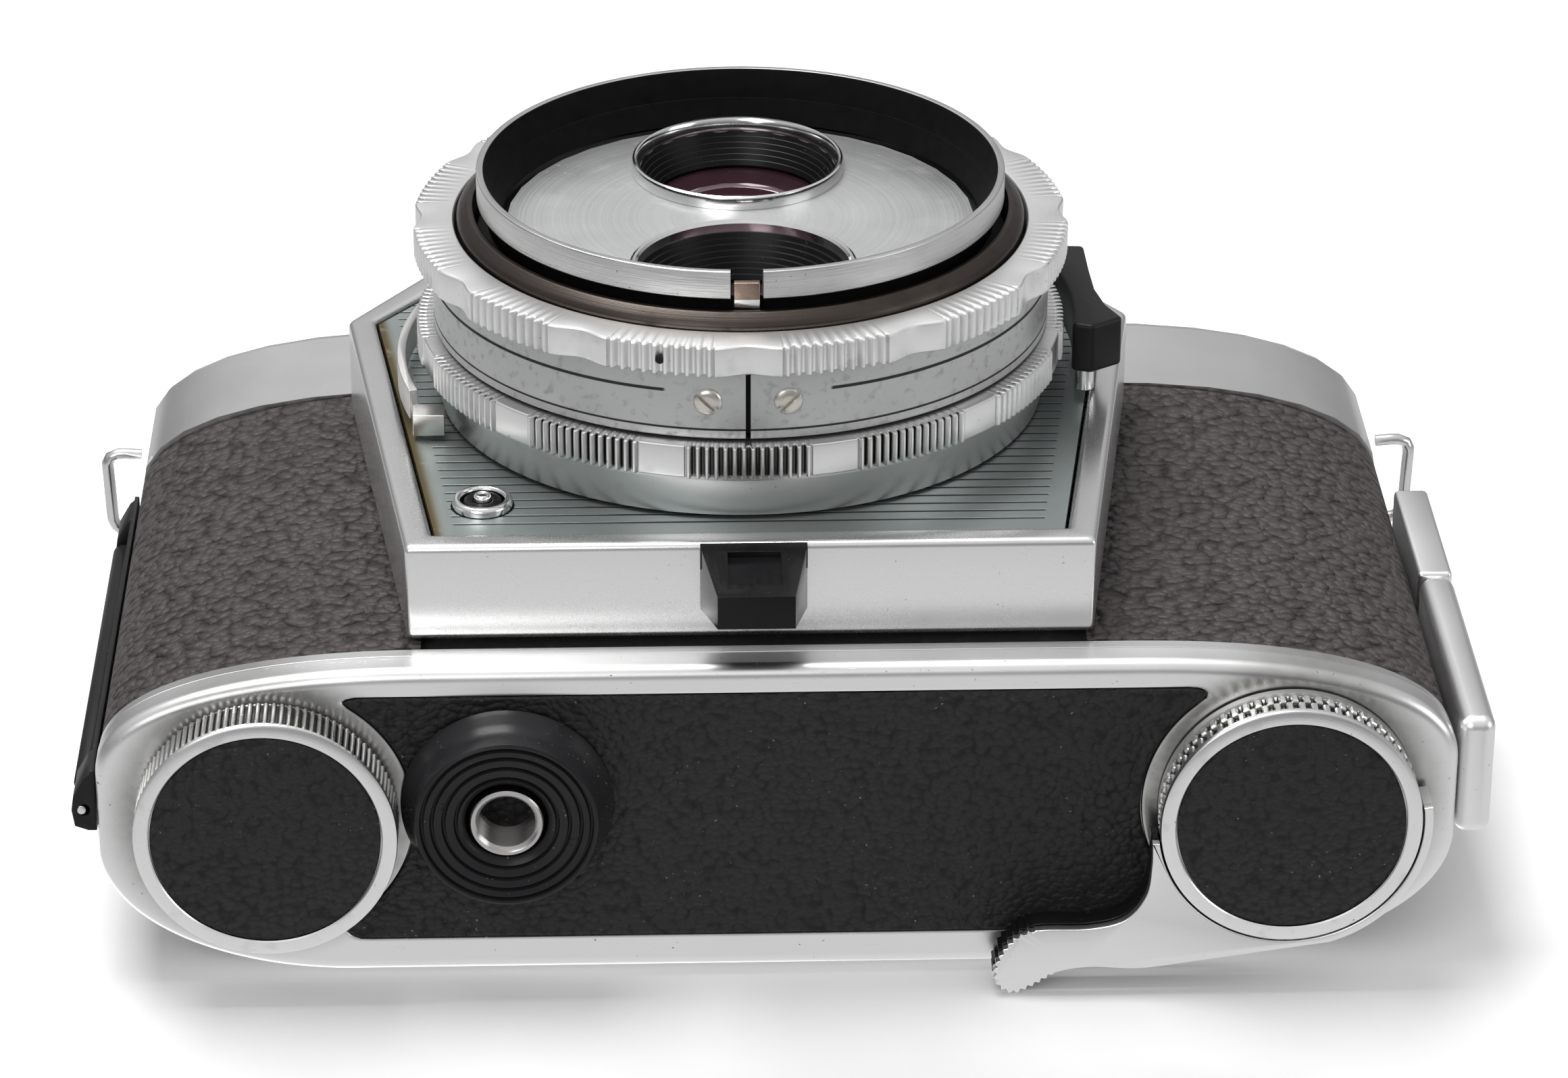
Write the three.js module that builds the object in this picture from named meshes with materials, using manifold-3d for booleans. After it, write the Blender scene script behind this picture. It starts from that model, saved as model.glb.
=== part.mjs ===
// A 35 mm roll-film camera with two equal lenses one above the other in a single focusing mount:
// the upper one feeds a waist-level finder by way of a fixed mirror, the lower one takes the picture.
// Millimetres. +Z is up, -Y is the way the lenses look, +X is the wind-lever end of the base.
// It stands on its two base knobs and on the small foot under the lens block.
import * as THREE from 'three';
import { mergeVertices } from 'three/addons/utils/BufferGeometryUtils.js';
import Module from 'manifold-3d';

const wasm = await Module();
wasm.setup();

// ---- driving dimensions ---------------------------------------------------------------------
const GAP = 0.3; // between pieces that touch
const HALF_WIDTH = 67.3;
const HALF_DEPTH = 17;
const BASE_Z = 5.2; // face of the bottom cover
const RIM_Z = 10.2; // top of the bottom cover's wall
const TOP_COVER_Z = 69.9;
const TOP_Z = 87.5;
const SPLIT_Y = 2; // where the back door meets the body
const FRONT_CORNER = { x: 34, y: 12 };
const REAR_CORNER = { x: 25, y: 14 };
const BODY_ROUNDNESS = 2.2; // power of the front corners, 2 is an ellipse
const COVER_ROUNDNESS = 2.4;
const LEATHER = { outer: 0.1, inner: 0.7 }; // insets from the outline
const SHELL_INSET = 1.0;
const SHELL_WALL = 1.0;

const BLOCK = { x: -2.6, low: 11.2, wide: 64.7, high: 86 }; // its lower edge, widest level and top
const BLOCK_HALF = { low: 33.8, wide: 41.4, high: 27.5 };
const BLOCK_Y = { front: -27.6, back: -17.3 };
const BLOCK_BORDER = 2.9;
const PLATE_Y = { front: -27.1, back: -26.2 };

const LENS = { x: -2.72, z: 48.95 };
const VIEWING_Z = 61.6;
const TAKING_Z = 36.3;
const BARREL_R = 26.8;
const RING_BORE = 29.5;
const SKIRT = { low: 31.1, high: 31.9, back: -27.4, front: -31.9 };
const FOCUS_RING = { r: 33.35, back: -32.2, front: -35.67 };
const BAND = { outer: 31.6, inner: 30.4, back: -35.9, front: -43.0 };
const SPEED_RING = { r: 33.5, bore: 29.3, back: -43.3, front: -46.5 };
const APERTURE_RING = { r: 29.0, bore: 27.3, back: -43.5, front: -47.9 };
const HOOD = { rimR: 26.92, rimBore: 26.2, neckR: 25.9, floorR: 24.4 };
const HOOD_Y = { front: -51.75, lip: -48.8, back: -46.3 };
const FACE_Y = { front: -46.0, back: -45.3 };

const REWIND = { x: -50.45, y: -1.26 };
const WIND = { x: 50.3, y: -1.26 };
const KNOB_R = 12.95;
const KNOB_DISC_R = 11.15;
const CHAMBER = { r: 12.75, low: 11, high: 60 };
const TRIPOD = { x: -26.83, y: -2.34, r: 9.0, bushR: 4.0, boreR: 2.8 };
const FRAME = { x: -2.72, z: TAKING_Z, wide: 36, tall: 24 };
const HINGE = { x: -69.0, y: -0.8, r: 1.5, pinR: 0.6 };
const LATCH = { inner: 67.6, outer: 71.2, front: -9, back: 4, low: 7.2, joint: 39.2, high: 59 };
const LOOP = { reach: 72, z: 74, wire: 0.65 };
const WELL = { x: -2.7, half: 21, front: -15.6, back: 5.6 };
const LEVER_TIP_Y = 17.6;

// ---- solids -----------------------------------------------------------------------------------
function toSolid(geometry) {
  const plain = geometry.clone();
  plain.deleteAttribute('normal');
  plain.deleteAttribute('uv');
  const merged = mergeVertices(plain, 1e-4);
  const vertProperties = new Float32Array(merged.attributes.position.array);
  const triVerts = new Uint32Array(merged.index.array);
  return new wasm.Manifold(new wasm.Mesh({ numProp: 3, vertProperties, triVerts }));
}

function toGeometry(solid) {
  const mesh = solid.getMesh();
  const geometry = new THREE.BufferGeometry();
  geometry.setAttribute('position', new THREE.BufferAttribute(new Float32Array(mesh.vertProperties), 3));
  geometry.setIndex(new THREE.BufferAttribute(new Uint32Array(mesh.triVerts), 1));
  geometry.computeVertexNormals();
  return geometry;
}

function cut(geometry, ...tools) {
  return toGeometry(tools.reduce((solid, tool) => solid.subtract(toSolid(tool)), toSolid(geometry)));
}

function join(geometry, ...others) {
  return toGeometry(others.reduce((solid, other) => solid.add(toSolid(other)), toSolid(geometry)));
}

function common(geometry, other) {
  return toGeometry(toSolid(geometry).intersect(toSolid(other)));
}

function box(x0, x1, y0, y1, z0, z1) {
  const geometry = new THREE.BoxGeometry(x1 - x0, y1 - y0, z1 - z0);
  return geometry.translate((x0 + x1) / 2, (y0 + y1) / 2, (z0 + z1) / 2);
}

// An outline in X and Y, carried up from z0 to z1.
function prismZ(shape, z0, z1) {
  const options = { depth: z1 - z0, bevelEnabled: false };
  return new THREE.ExtrudeGeometry(shape, options).translate(0, 0, z0);
}

// An outline in X and Z, carried along Y from front to back.
function prismY(shape, front, back) {
  const options = { depth: back - front, bevelEnabled: false };
  return new THREE.ExtrudeGeometry(shape, options).rotateX(Math.PI / 2).translate(0, back, 0);
}

// Turned pieces: a closed profile of [radius, height] points, listed anticlockwise.
function turned(profile, segments) {
  const points = profile.map(([r, h]) => new THREE.Vector2(r, h));
  points.push(points[0].clone());
  return new THREE.LatheGeometry(points, segments);
}

function turnedZ(profile, x, y, segments = 30) {
  return turned(profile, segments).rotateX(Math.PI / 2).translate(x, y, 0);
}

function turnedY(profile, x, z, segments = 36) {
  return turned(profile, segments).translate(x, 0, z);
}

function rodZ(r, x, y, z0, z1, segments = 20) {
  return turnedZ([[0, z0], [r, z0], [r, z1], [0, z1]], x, y, segments);
}

function rodY(r, x, z, front, back, segments = 20) {
  return turnedY([[0, front], [r, front], [r, back], [0, back]], x, z, segments);
}

function tubeZ(bore, r, x, y, z0, z1, segments = 24) {
  return turnedZ([[bore, z0], [r, z0], [r, z1], [bore, z1]], x, y, segments);
}

function tubeY(bore, r, x, z, front, back, segments = 36) {
  return turnedY([[bore, front], [r, front], [r, back], [bore, back]], x, z, segments);
}

function polygon(points) {
  return new THREE.Shape(points.map(([x, y]) => new THREE.Vector2(x, y)));
}

// ---- outlines -----------------------------------------------------------------------------------
// One quarter of a superellipse, as offsets from its centre, from the x axis to the y axis.
function quarter(a, b, power, steps) {
  return Array.from({ length: steps + 1 }, (_, i) => {
    const angle = (i / steps) * (Math.PI / 2);
    return [a * Math.cos(angle) ** (2 / power), b * Math.sin(angle) ** (2 / power)];
  });
}

// The camera's plan: straight sides, long front corners, shorter rear ones, drawn in by inset.
function bodyOutline(inset, power = BODY_ROUNDNESS, steps = 8) {
  const front = quarter(FRONT_CORNER.x - inset, FRONT_CORNER.y - inset, power, steps);
  const rear = quarter(REAR_CORNER.x - inset, REAR_CORNER.y - inset, 2, steps);
  const frontAt = ([x, y]) => [HALF_WIDTH - FRONT_CORNER.x + x, FRONT_CORNER.y - HALF_DEPTH - y];
  const rearAt = ([x, y]) => [HALF_WIDTH - REAR_CORNER.x + x, HALF_DEPTH - REAR_CORNER.y + y];
  const right = [...front.map(frontAt).reverse(), ...rear.map(rearAt)];
  const left = right.map(([x, y]) => [-x, y]).reverse();
  return polygon([...right, ...left]);
}

// The six-sided lens block, drawn in by inset.
function blockOutline(inset) {
  const { x, low, wide, high } = BLOCK;
  const halves = [
    [BLOCK_HALF.low - inset * 0.9, low + inset],
    [BLOCK_HALF.wide - inset, wide],
    [BLOCK_HALF.high - inset * 0.8, high - inset],
  ];
  const right = halves.map(([half, z]) => [x + half, z]);
  const left = halves.map(([half, z]) => [x - half, z]).reverse();
  return polygon([...right, ...left]);
}

function arcPoints(x, y, r, from, to, steps) {
  return Array.from({ length: steps + 1 }, (_, i) => {
    const angle = THREE.MathUtils.degToRad(from + ((to - from) * i) / steps);
    return [x + r * Math.cos(angle), y + r * Math.sin(angle)];
  });
}

// ---- materials ------------------------------------------------------------------------------------
const FINISHES = {
  satin_chrome: [0xc4c4c2, 0.35, 1],
  bright_chrome: [0xe2e2e2, 0.15, 1],
  ring_aluminium: [0xd6d6d4, 0.4, 1],
  band_grey: [0x8f9291, 0.5, 1],
  bronze: [0x6b5848, 0.4, 1],
  striped_plate: [0x7f8a86, 0.4, 1],
  leatherette: [0x2a2627, 0.7, 0],
  gloss_black: [0x0c0c0d, 0.2, 0],
  matte_black: [0x1b1a1b, 0.55, 0],
  casting_grey: [0x3a3b3c, 0.6, 1],
  steel: [0xa7a8a6, 0.35, 1],
  coated_glass: [0x4a3140, 0.05, 0],
  clear_glass: [0xdfe6e4, 0.1, 0],
  silvered: [0xe8ecee, 0.03, 1],
};

const group = new THREE.Group();

function add(name, finish, geometry) {
  const [color, roughness, metalness] = FINISHES[finish];
  const mesh = new THREE.Mesh(geometry, new THREE.MeshStandardMaterial({ color, roughness, metalness }));
  mesh.name = name;
  group.add(mesh);
}

// ---- body ---------------------------------------------------------------------------------------------
const CASTING_Z = { low: 7.2, high: 69.5 };
const CORE = { x0: -37.2, x1: 36.9, back: 7.4 };
const CAVITY = { half: 20.6, low: 20.5, back: 5.5 };
const BUSH_HOLE_R = TRIPOD.bushR + GAP;
const SLEEVE_HOLE_R = 3.6;
const HUB_HOLE_R = 3.4;

function chamberSpace(axis) {
  const round = rodZ(CHAMBER.r, axis.x, axis.y, CHAMBER.low, CHAMBER.high, 32);
  const rear = box(axis.x - CHAMBER.r, axis.x + CHAMBER.r, axis.y, HALF_DEPTH, CHAMBER.low, CHAMBER.high);
  return join(round, rear);
}

// Die-cast body: front and end walls, two film chambers, and the core that carries the film gate.
function bodyCasting() {
  const { low, high } = CASTING_Z;
  const outer = prismZ(bodyOutline(SHELL_INSET), low, high);
  const frontPart = common(outer, box(-80, 80, -20, SPLIT_Y - GAP, low - 1, high + 1));
  const core = box(CORE.x0, CORE.x1, -10, CORE.back, CHAMBER.low, high);
  const dark = box(LENS.x - CAVITY.half, LENS.x + CAVITY.half, -20, CAVITY.back, CAVITY.low, high + 1);
  const aperture = box(
    FRAME.x - FRAME.wide / 2, FRAME.x + FRAME.wide / 2, 0, 10,
    FRAME.z - FRAME.tall / 2, FRAME.z + FRAME.tall / 2,
  );
  const bush = rodZ(BUSH_HOLE_R, TRIPOD.x, TRIPOD.y, 0, 13);
  const rewindHole = rodZ(SLEEVE_HOLE_R, REWIND.x, REWIND.y, 0, 12);
  const windHole = rodZ(HUB_HOLE_R, WIND.x, WIND.y, 0, 12);
  const spaces = [chamberSpace(REWIND), chamberSpace(WIND), dark, aperture];
  return cut(join(frontPart, core), ...spaces, sprocketSpace(), bush, rewindHole, windHole);
}

const SPROCKET = { x: 31.5, y: 2.6, r: 5.2, low: 16, high: 57 };

function sprocketSpace() {
  const { x, y, r, low, high } = SPROCKET;
  const round = rodZ(r + 1, x, y, low - 1, high + 1, 24);
  return join(round, box(x - r - 1, x + r + 1, y, HALF_DEPTH, low - 1, high + 1));
}

const PANEL = { x0: -43.4, x1: 42.4, y0: -14.1, y1: 13.0, corner: 2.2, bite: 14.5 };
const PANEL_Z = { face: 5.15, back: 5.6, floor: 5.9 };

function panelOutline(grow) {
  const { x0, x1, y0, y1, corner } = PANEL;
  const corners = [[x1, y0, -90], [x1, y1, 0], [x0, y1, 90], [x0, y0, 180]];
  const points = corners.flatMap(([x, y, start]) => {
    const cx = x > 0 ? x - corner : x + corner;
    const cy = y > 0 ? y - corner : y + corner;
    return arcPoints(cx, cy, corner + grow, start, start + 90, 4);
  });
  return polygon(points);
}

function panel(grow, z0, z1) {
  const bites = [REWIND, WIND].map((axis) => rodZ(PANEL.bite - grow, axis.x, axis.y, z0 - 1, z1 + 1, 40));
  return cut(prismZ(panelOutline(grow), z0, z1), ...bites);
}

// A block with the covers' plan from z0 to z1, its edges rounded by round.
function pressed(z0, z1, round, segments) {
  const options = {
    depth: z1 - z0 - 2 * round,
    bevelThickness: round,
    bevelSize: round,
    bevelOffset: -round,
    bevelSegments: segments,
  };
  return new THREE.ExtrudeGeometry(bodyOutline(0, COVER_ROUNDNESS), options).translate(0, 0, z0 + round);
}

// Pressed bottom cover: a tray with a recess for the covering and holes for the shafts and bush.
function bottomCover() {
  const slab = common(pressed(BASE_Z, RIM_Z + 2, 1, 2), box(-80, 80, -20, 20, BASE_Z - 1, RIM_Z));
  const inside = prismZ(bodyOutline(0.75, COVER_ROUNDNESS), CASTING_Z.low - GAP, RIM_Z + 1);
  const holes = [
    rodZ(BUSH_HOLE_R, TRIPOD.x, TRIPOD.y, 0, 13),
    rodZ(SLEEVE_HOLE_R, REWIND.x, REWIND.y, 0, 12),
    rodZ(HUB_HOLE_R, WIND.x, WIND.y, 0, 12),
  ];
  return cut(slab, inside, panel(0.1, 0, PANEL_Z.floor), ...holes);
}

function baseLeatherette() {
  return cut(panel(0, PANEL_Z.face, PANEL_Z.back), rodZ(BUSH_HOLE_R, TRIPOD.x, TRIPOD.y, 0, 13));
}

const LEATHER_Z = { low: 10.5, high: 69.6 };

function leatherBand() {
  const { outer, inner } = LEATHER;
  const skin = prismZ(bodyOutline(outer), LEATHER_Z.low, LEATHER_Z.high);
  return cut(skin, prismZ(bodyOutline(inner), 0, TOP_Z));
}

function frontLeather(x0, x1) {
  return common(leatherBand(), box(x0, x1, -20, SPLIT_Y - GAP, 0, TOP_Z));
}

// Pressed top cover with rounded shoulders and the finder well's opening.
function topCover() {
  const round = 2.6;
  const block = pressed(TOP_COVER_Z - 2 * round, TOP_Z, round, 3);
  const slab = common(block, box(-80, 80, -20, 20, TOP_COVER_Z, TOP_Z + 1));
  const inside = prismZ(bodyOutline(1.8, COVER_ROUNDNESS), TOP_COVER_Z - 1, TOP_Z - 2);
  const well = box(WELL.x - WELL.half, WELL.x + WELL.half, WELL.front, WELL.back, TOP_COVER_Z, TOP_Z + 1);
  return cut(slab, inside, well);
}

// Wire bail through two holes in the end of the top cover; side is -1 or 1.
function strapLoop(side) {
  const { reach, z, wire } = LOOP;
  const root = HALF_WIDTH + GAP;
  const out = reach - wire;
  const corners = [
    [root, -7.6], [out - 0.8, -7.8], [out, -7], [out - 0.3, 0.8], [out - 1.2, 1.7], [root, 2.0],
  ];
  const path = new THREE.CurvePath();
  corners.slice(1).forEach(([x, y], i) => {
    const [fromX, fromY] = corners[i];
    path.add(new THREE.LineCurve3(
      new THREE.Vector3(side * fromX, fromY, z),
      new THREE.Vector3(side * x, y, z),
    ));
  });
  const section = polygon(arcPoints(0, 0, wire, 0, 315, 7));
  const smooth = new THREE.CatmullRomCurve3(path.getSpacedPoints(14), false, 'centripetal');
  return new THREE.ExtrudeGeometry(section, { steps: 18, extrudePath: smooth });
}

function addBody() {
  add('body_casting', 'casting_grey', bodyCasting());
  add('bottom_cover', 'satin_chrome', bottomCover());
  add('base_leatherette', 'leatherette', baseLeatherette());
  add('front_leather_left', 'leatherette', frontLeather(-80, -34.5));
  add('front_leather_right', 'leatherette', frontLeather(29.3, 80));
  add('top_cover', 'satin_chrome', topCover());
  add('strap_loop_left', 'steel', strapLoop(-1));
  add('strap_loop_right', 'steel', strapLoop(1));
}

// ---- lens block ---------------------------------------------------------------------------------------
const FOOT = { x: -2.35, low: 3.75, high: 5.25, front: -27.5 };
const FOOT_NOTCH_Z = 13.6;
const FLASH = { x: -29.0, z: 21.2 };
const FLANGE_R = 32.5;

function frontBlock() {
  const ring = cut(
    prismY(blockOutline(0), BLOCK_Y.front, BLOCK_Y.back),
    prismY(blockOutline(BLOCK_BORDER), BLOCK_Y.front - 1, BLOCK_Y.back + 1),
  );
  const notch = box(FOOT.x - 6.25, FOOT.x + 6.25, BLOCK_Y.front - 1, -25, 0, FOOT_NOTCH_Z);
  return cut(ring, notch);
}

function frontPlate() {
  const outline = blockOutline(BLOCK_BORDER + GAP);
  const hole = rodY(RING_BORE + 0.4, LENS.x, LENS.z, -40, 0, 36);
  const socket = rodY(3.2, FLASH.x, FLASH.z, -40, 0);
  return cut(prismY(outline, PLATE_Y.front, PLATE_Y.back), hole, socket);
}

// Moulded foot, hung from the block's lower edge, tapering to a narrow sole.
function supportFoot() {
  const { x, low, high, front } = FOOT;
  const sole = [[x - low, 0], [x + low, 0]];
  const root = [[x + high, BLOCK.low - GAP], [x - high, BLOCK.low - GAP]];
  const taper = prismY(polygon([...sole, ...root]), front, -19);
  const side = polygon([[front, 0], [-24, 0], [-20.5, BLOCK.low], [front, BLOCK.low]]);
  const rib = new THREE.ExtrudeGeometry(side, { depth: 20, bevelEnabled: false });
  const wedge = rib.rotateX(Math.PI / 2).rotateZ(Math.PI / 2).translate(x - 10, 0, 0);
  const head = box(x - high, x + high, front, -25 - GAP, BLOCK.low - 1, FOOT_NOTCH_Z - GAP);
  const pocket = box(x - 2.6, x + 2.6, front - 1, front + 0.7, 2.6, 9.6);
  return cut(join(common(taper, wedge), head), pocket);
}

function helicoidBase() {
  const { x, z } = LENS;
  const tube = [
    [BARREL_R + 0.3, -26.9], [RING_BORE - 0.4, -26.9], [RING_BORE - 0.4, -25.8],
    [FLANGE_R, -25.8], [FLANGE_R, -24.6], [RING_BORE - 0.4, -24.6],
    [RING_BORE - 0.4, -19], [BARREL_R + 0.3, -19],
  ];
  return turnedY(tube, x, z);
}

function addLensBlock() {
  add('front_block', 'satin_chrome', frontBlock());
  add('front_plate', 'striped_plate', frontPlate());
  add('support_foot', 'gloss_black', supportFoot());
  add('helicoid_base', 'steel', helicoidBase());
  add('flash_socket_ring', 'bright_chrome', tubeY(2.2, 2.9, FLASH.x, FLASH.z, -27.9, -24, 24));
  add('flash_socket_insulator', 'matte_black', tubeY(1.1, 1.9, FLASH.x, FLASH.z, -27.6, -24.4, 20));
  add('flash_socket_pin', 'bright_chrome', tubeY(0.4, 0.8, FLASH.x, FLASH.z, -28.3, -24.4, 16));
}

// ---- tripod boss --------------------------------------------------------------------------------------
function addTripodBoss() {
  const { x, y, r, bushR, boreR } = TRIPOD;
  const bore = bushR + GAP;
  const boss = [[bore, 0.5], [r, 0.5], [r + 0.1, 2.2], [r + 0.9, 4.0], [r + 1.5, 4.85], [bore, 4.85]];
  add('tripod_boss', 'gloss_black', turnedZ(boss, x, y));
  add('tripod_bush', 'bright_chrome', tubeZ(boreR, bushR, x, y, 0.9, 12.5, 32));
}

// ---- reflex finder ----------------------------------------------------------------------------------------
const MIRROR_BOX = { half: 20.2, front: -14.6, back: 5.1, low: 51, high: 77, wall: 1 };
const MIRROR = { y: -4.9, z: 61.6, length: 23, half: 18.6, thick: 1.2 };

function mirrorBox() {
  const { half, front, back, low, high, wall } = MIRROR_BOX;
  const outer = box(LENS.x - half, LENS.x + half, front, back, low, high);
  const inner = box(LENS.x - half + wall, LENS.x + half - wall, front - 1, back - wall, low + wall, high + 1);
  return cut(outer, inner);
}

function mirror() {
  const { y, z, length, half, thick } = MIRROR;
  const plate = box(-half, half, -length / 2, length / 2, -thick, 0);
  return plate.rotateX(Math.PI / 4).translate(LENS.x, y, z);
}

const HOOD_LID = { half: 20.6, front: -15.2, back: 5.2, low: 86.3, high: 87.3 };
const FLAP = { axis: 19.3, z: 80.5, thick: 0.8, front: -13.4, back: 4.6, start: 4.7, widest: 16 };

// Side flap of the folding hood: its front corner is cut away to fold in under the lid.
function hoodFlap(side) {
  const { axis, z, thick, front, back, start, widest } = FLAP;
  const slopeEnd = front + (widest - start) / 0.8;
  const points = [[0, front], [start, front], [widest, slopeEnd], [widest, back], [0, back]];
  const outline = polygon(points.map(([u, v]) => [WELL.x + side * (axis - u), v]));
  return prismZ(outline, z, z + thick);
}

function addFinder() {
  const { half, front, back, low, high } = HOOD_LID;
  add('mirror_box', 'matte_black', mirrorBox());
  add('viewing_mirror', 'silvered', mirror());
  add('ground_glass', 'clear_glass', box(LENS.x - 19.5, LENS.x + 19.5, -14.4, 4.8, 77.3, 78.8));
  add('hood_lid', 'satin_chrome', box(WELL.x - half, WELL.x + half, front, back, low, high));
  add('hood_flap_left', 'matte_black', hoodFlap(-1));
  add('hood_flap_right', 'matte_black', hoodFlap(1));
}

// ---- film transport ---------------------------------------------------------------------------------------
function knob(axis, high) {
  const profile = [
    [0, 0.75], [KNOB_DISC_R + 0.1, 0.75], [KNOB_DISC_R + 0.1, 0], [KNOB_R - 0.5, 0],
    [KNOB_R, 0.5], [KNOB_R, high], [0, high],
  ];
  return turnedZ(profile, axis.x, axis.y, 36);
}

function knobDisc(axis) {
  return rodZ(KNOB_DISC_R - 0.1, axis.x, axis.y, 0.08, 0.45, 30);
}

function rewindShaft() {
  const shaft = rodZ(2, REWIND.x, REWIND.y, BASE_Z, 12.6, 20);
  return join(shaft, box(REWIND.x - 2.8, REWIND.x + 2.8, REWIND.y - 0.6, REWIND.y + 0.6, 12, 15.5));
}

// Flat arm of the wind lever, flush with the knob's face: it hugs the knob and ends in a thumb tip.
const LEVER_EDGE = [
  [37.1, -2.3], [37.0, 2.8], [36.3, 6.4], [34.2, 9.2], [30.8, 10.1], [25.7, 10.2], [23.4, 11.2],
  [21.9, 13.2], [21.3, 15.1], [21.9, 16.8], [23.4, LEVER_TIP_Y], [25.2, 16.6], [27.6, 15.0],
  [30.9, 14.5], [35.9, 14.7], [41.7, 13.9],
];
const LEVER_BORE = KNOB_R + 0.25;
const LEVER_RIM = KNOB_R + 1;

// The arm, the wall that hugs the knob, and the hub under it, cut from one blank.
function windLever() {
  const rim = arcPoints(WIND.x, WIND.y, LEVER_RIM, 72, -8, 10);
  const bore = arcPoints(WIND.x, WIND.y, LEVER_BORE, -8, 184, 22);
  const plate = prismZ(polygon([...LEVER_EDGE, ...rim, ...bore].reverse()), 0.1, 1.1);
  const wallBore = arcPoints(WIND.x, WIND.y, LEVER_BORE, -8, 72, 10);
  const wall = prismZ(polygon([...rim, ...wallBore].reverse()), 0.6, 4.5);
  return join(plate, wall, leverHub());
}

function leverGrip() {
  const bore = arcPoints(WIND.x, WIND.y, LEVER_BORE, 100, 184, 10);
  return prismZ(polygon([...LEVER_EDGE, ...bore].reverse()), 1.4, 3.8);
}

function leverHub() {
  const profile = [[0, 4.1], [LEVER_RIM, 4.1], [LEVER_RIM, 4.9], [2.9, 4.9], [2.9, 10.6], [0, 10.6]];
  return turnedZ(profile, WIND.x, WIND.y, 36);
}

function takeupSpool() {
  const { x, y } = WIND;
  const profile = [
    [0, 11.4], [9, 11.4], [9, 12.6], [5.5, 12.6], [5.5, 57], [9, 57], [9, 58.2], [0, 58.2],
  ];
  const slot = box(x - 0.6, x + 0.6, y, y + 8, 20, 50);
  return cut(turnedZ(profile, x, y, 32), slot);
}

// Drum with two rims of eight teeth that match the film's perforations.
function sprocketDrum() {
  const { x, y, r, low, high } = SPROCKET;
  const profile = [
    [0, low], [r - 0.7, low], [r - 0.7, 22], [r - 2, 22],
    [r - 2, 50.6], [r - 0.7, 50.6], [r - 0.7, high], [0, high],
  ];
  const teeth = Array.from({ length: 16 }, (_, i) => {
    const z = i < 8 ? 20 : 52.6;
    const tooth = new THREE.ConeGeometry(0.8, 1.4, 6).rotateZ(-Math.PI / 2).translate(r - 0.4, 0, 0);
    return tooth.rotateZ((i * Math.PI) / 4).translate(x, y, z);
  });
  return join(turnedZ(profile, x, y, 24), ...teeth);
}

function filmGate() {
  const { x, z, wide, tall } = FRAME;
  const plate = box(x - 27, x + 27, 7.7, 8.6, 14, 59);
  const rail = (z0, z1) => box(x - 27, x + 27, 8, 9, z0, z1);
  const rails = [rail(22.2, 23.7), rail(48.9, 50.4), rail(17.3, 18.4), rail(54.2, 55.3)];
  const aperture = box(x - wide / 2, x + wide / 2, 0, 12, z - tall / 2, z + tall / 2);
  return cut(join(plate, ...rails), aperture);
}

function addTransport() {
  add('rewind_knob', 'ring_aluminium', knob(REWIND, 4.9));
  add('rewind_disc', 'leatherette', knobDisc(REWIND));
  add('rewind_shaft', 'steel', rewindShaft());
  add('rewind_sleeve', 'steel', tubeZ(2.3, 3.2, REWIND.x, REWIND.y, 5.3, 9.8));
  add('counter_knob', 'ring_aluminium', knob(WIND, 3.8));
  add('counter_disc', 'leatherette', knobDisc(WIND));
  add('wind_lever', 'satin_chrome', windLever());
  add('wind_lever_grip', 'gloss_black', leverGrip());
  add('takeup_spool', 'gloss_black', takeupSpool());
  add('sprocket_drum', 'steel', sprocketDrum());
  add('film_gate', 'matte_black', filmGate());
}

// ---- back door ------------------------------------------------------------------------------------------
const DOOR_Z = { low: 10.6, high: 69.5 };
const BARREL_Z = { low: 13, high: 63.4 };

function backDoor() {
  const outer = prismZ(bodyOutline(SHELL_INSET), DOOR_Z.low, DOOR_Z.high);
  const shell = cut(outer, prismZ(bodyOutline(SHELL_INSET + SHELL_WALL), 0, TOP_Z));
  return common(shell, box(-80, 80, SPLIT_Y, 20, 0, TOP_Z));
}

// Rolled barrel of the hinge with the leaf that is riveted to the door.
function hingeBarrel() {
  const { x, y, r, pinR } = HINGE;
  const barrel = rodZ(r, x, y, BARREL_Z.low, BARREL_Z.high, 20);
  const leaf = box(x, x + 1.4, y, SPLIT_Y + 2.6, BARREL_Z.low, BARREL_Z.high);
  return cut(join(barrel, leaf), rodZ(pinR + 0.08, x, y, 0, TOP_Z, 16));
}

// Fixed half of the hinge: a strip on the body's end with a chamfered ear at each end of the barrel.
function hingeLeaf() {
  const { x, y, r, pinR } = HINGE;
  const ear = polygon([
    [x + 1.4, -5.2], [x + 0.2, -4.4], [x - r + 0.3, -2.4], [x - r, y],
    [x - r + 0.3, 1], [x + 0.4, 1.5], [x + 1.4, 1.5],
  ]);
  const ears = [prismZ(ear, 7.4, BARREL_Z.low - GAP), prismZ(ear, BARREL_Z.high + GAP, 68.6)];
  const strip = box(x + 0.8, x + 1.4, -5.2, y - r - 0.4, 7.4, 68.6);
  return cut(join(strip, ...ears), rodZ(pinR + 0.08, x, y, 0, TOP_Z, 16));
}

function pressureSpring() {
  const bow = [[-17, 11.3], [-9, 13.9], [9, 13.9], [17, 11.3]];
  const inner = bow.map(([x, y]) => [FRAME.x + x, y - 0.25]);
  const outer = bow.map(([x, y]) => [FRAME.x + x, y + 0.25]).reverse();
  return prismZ(polygon([...inner, ...outer]), 32, 40);
}

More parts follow.
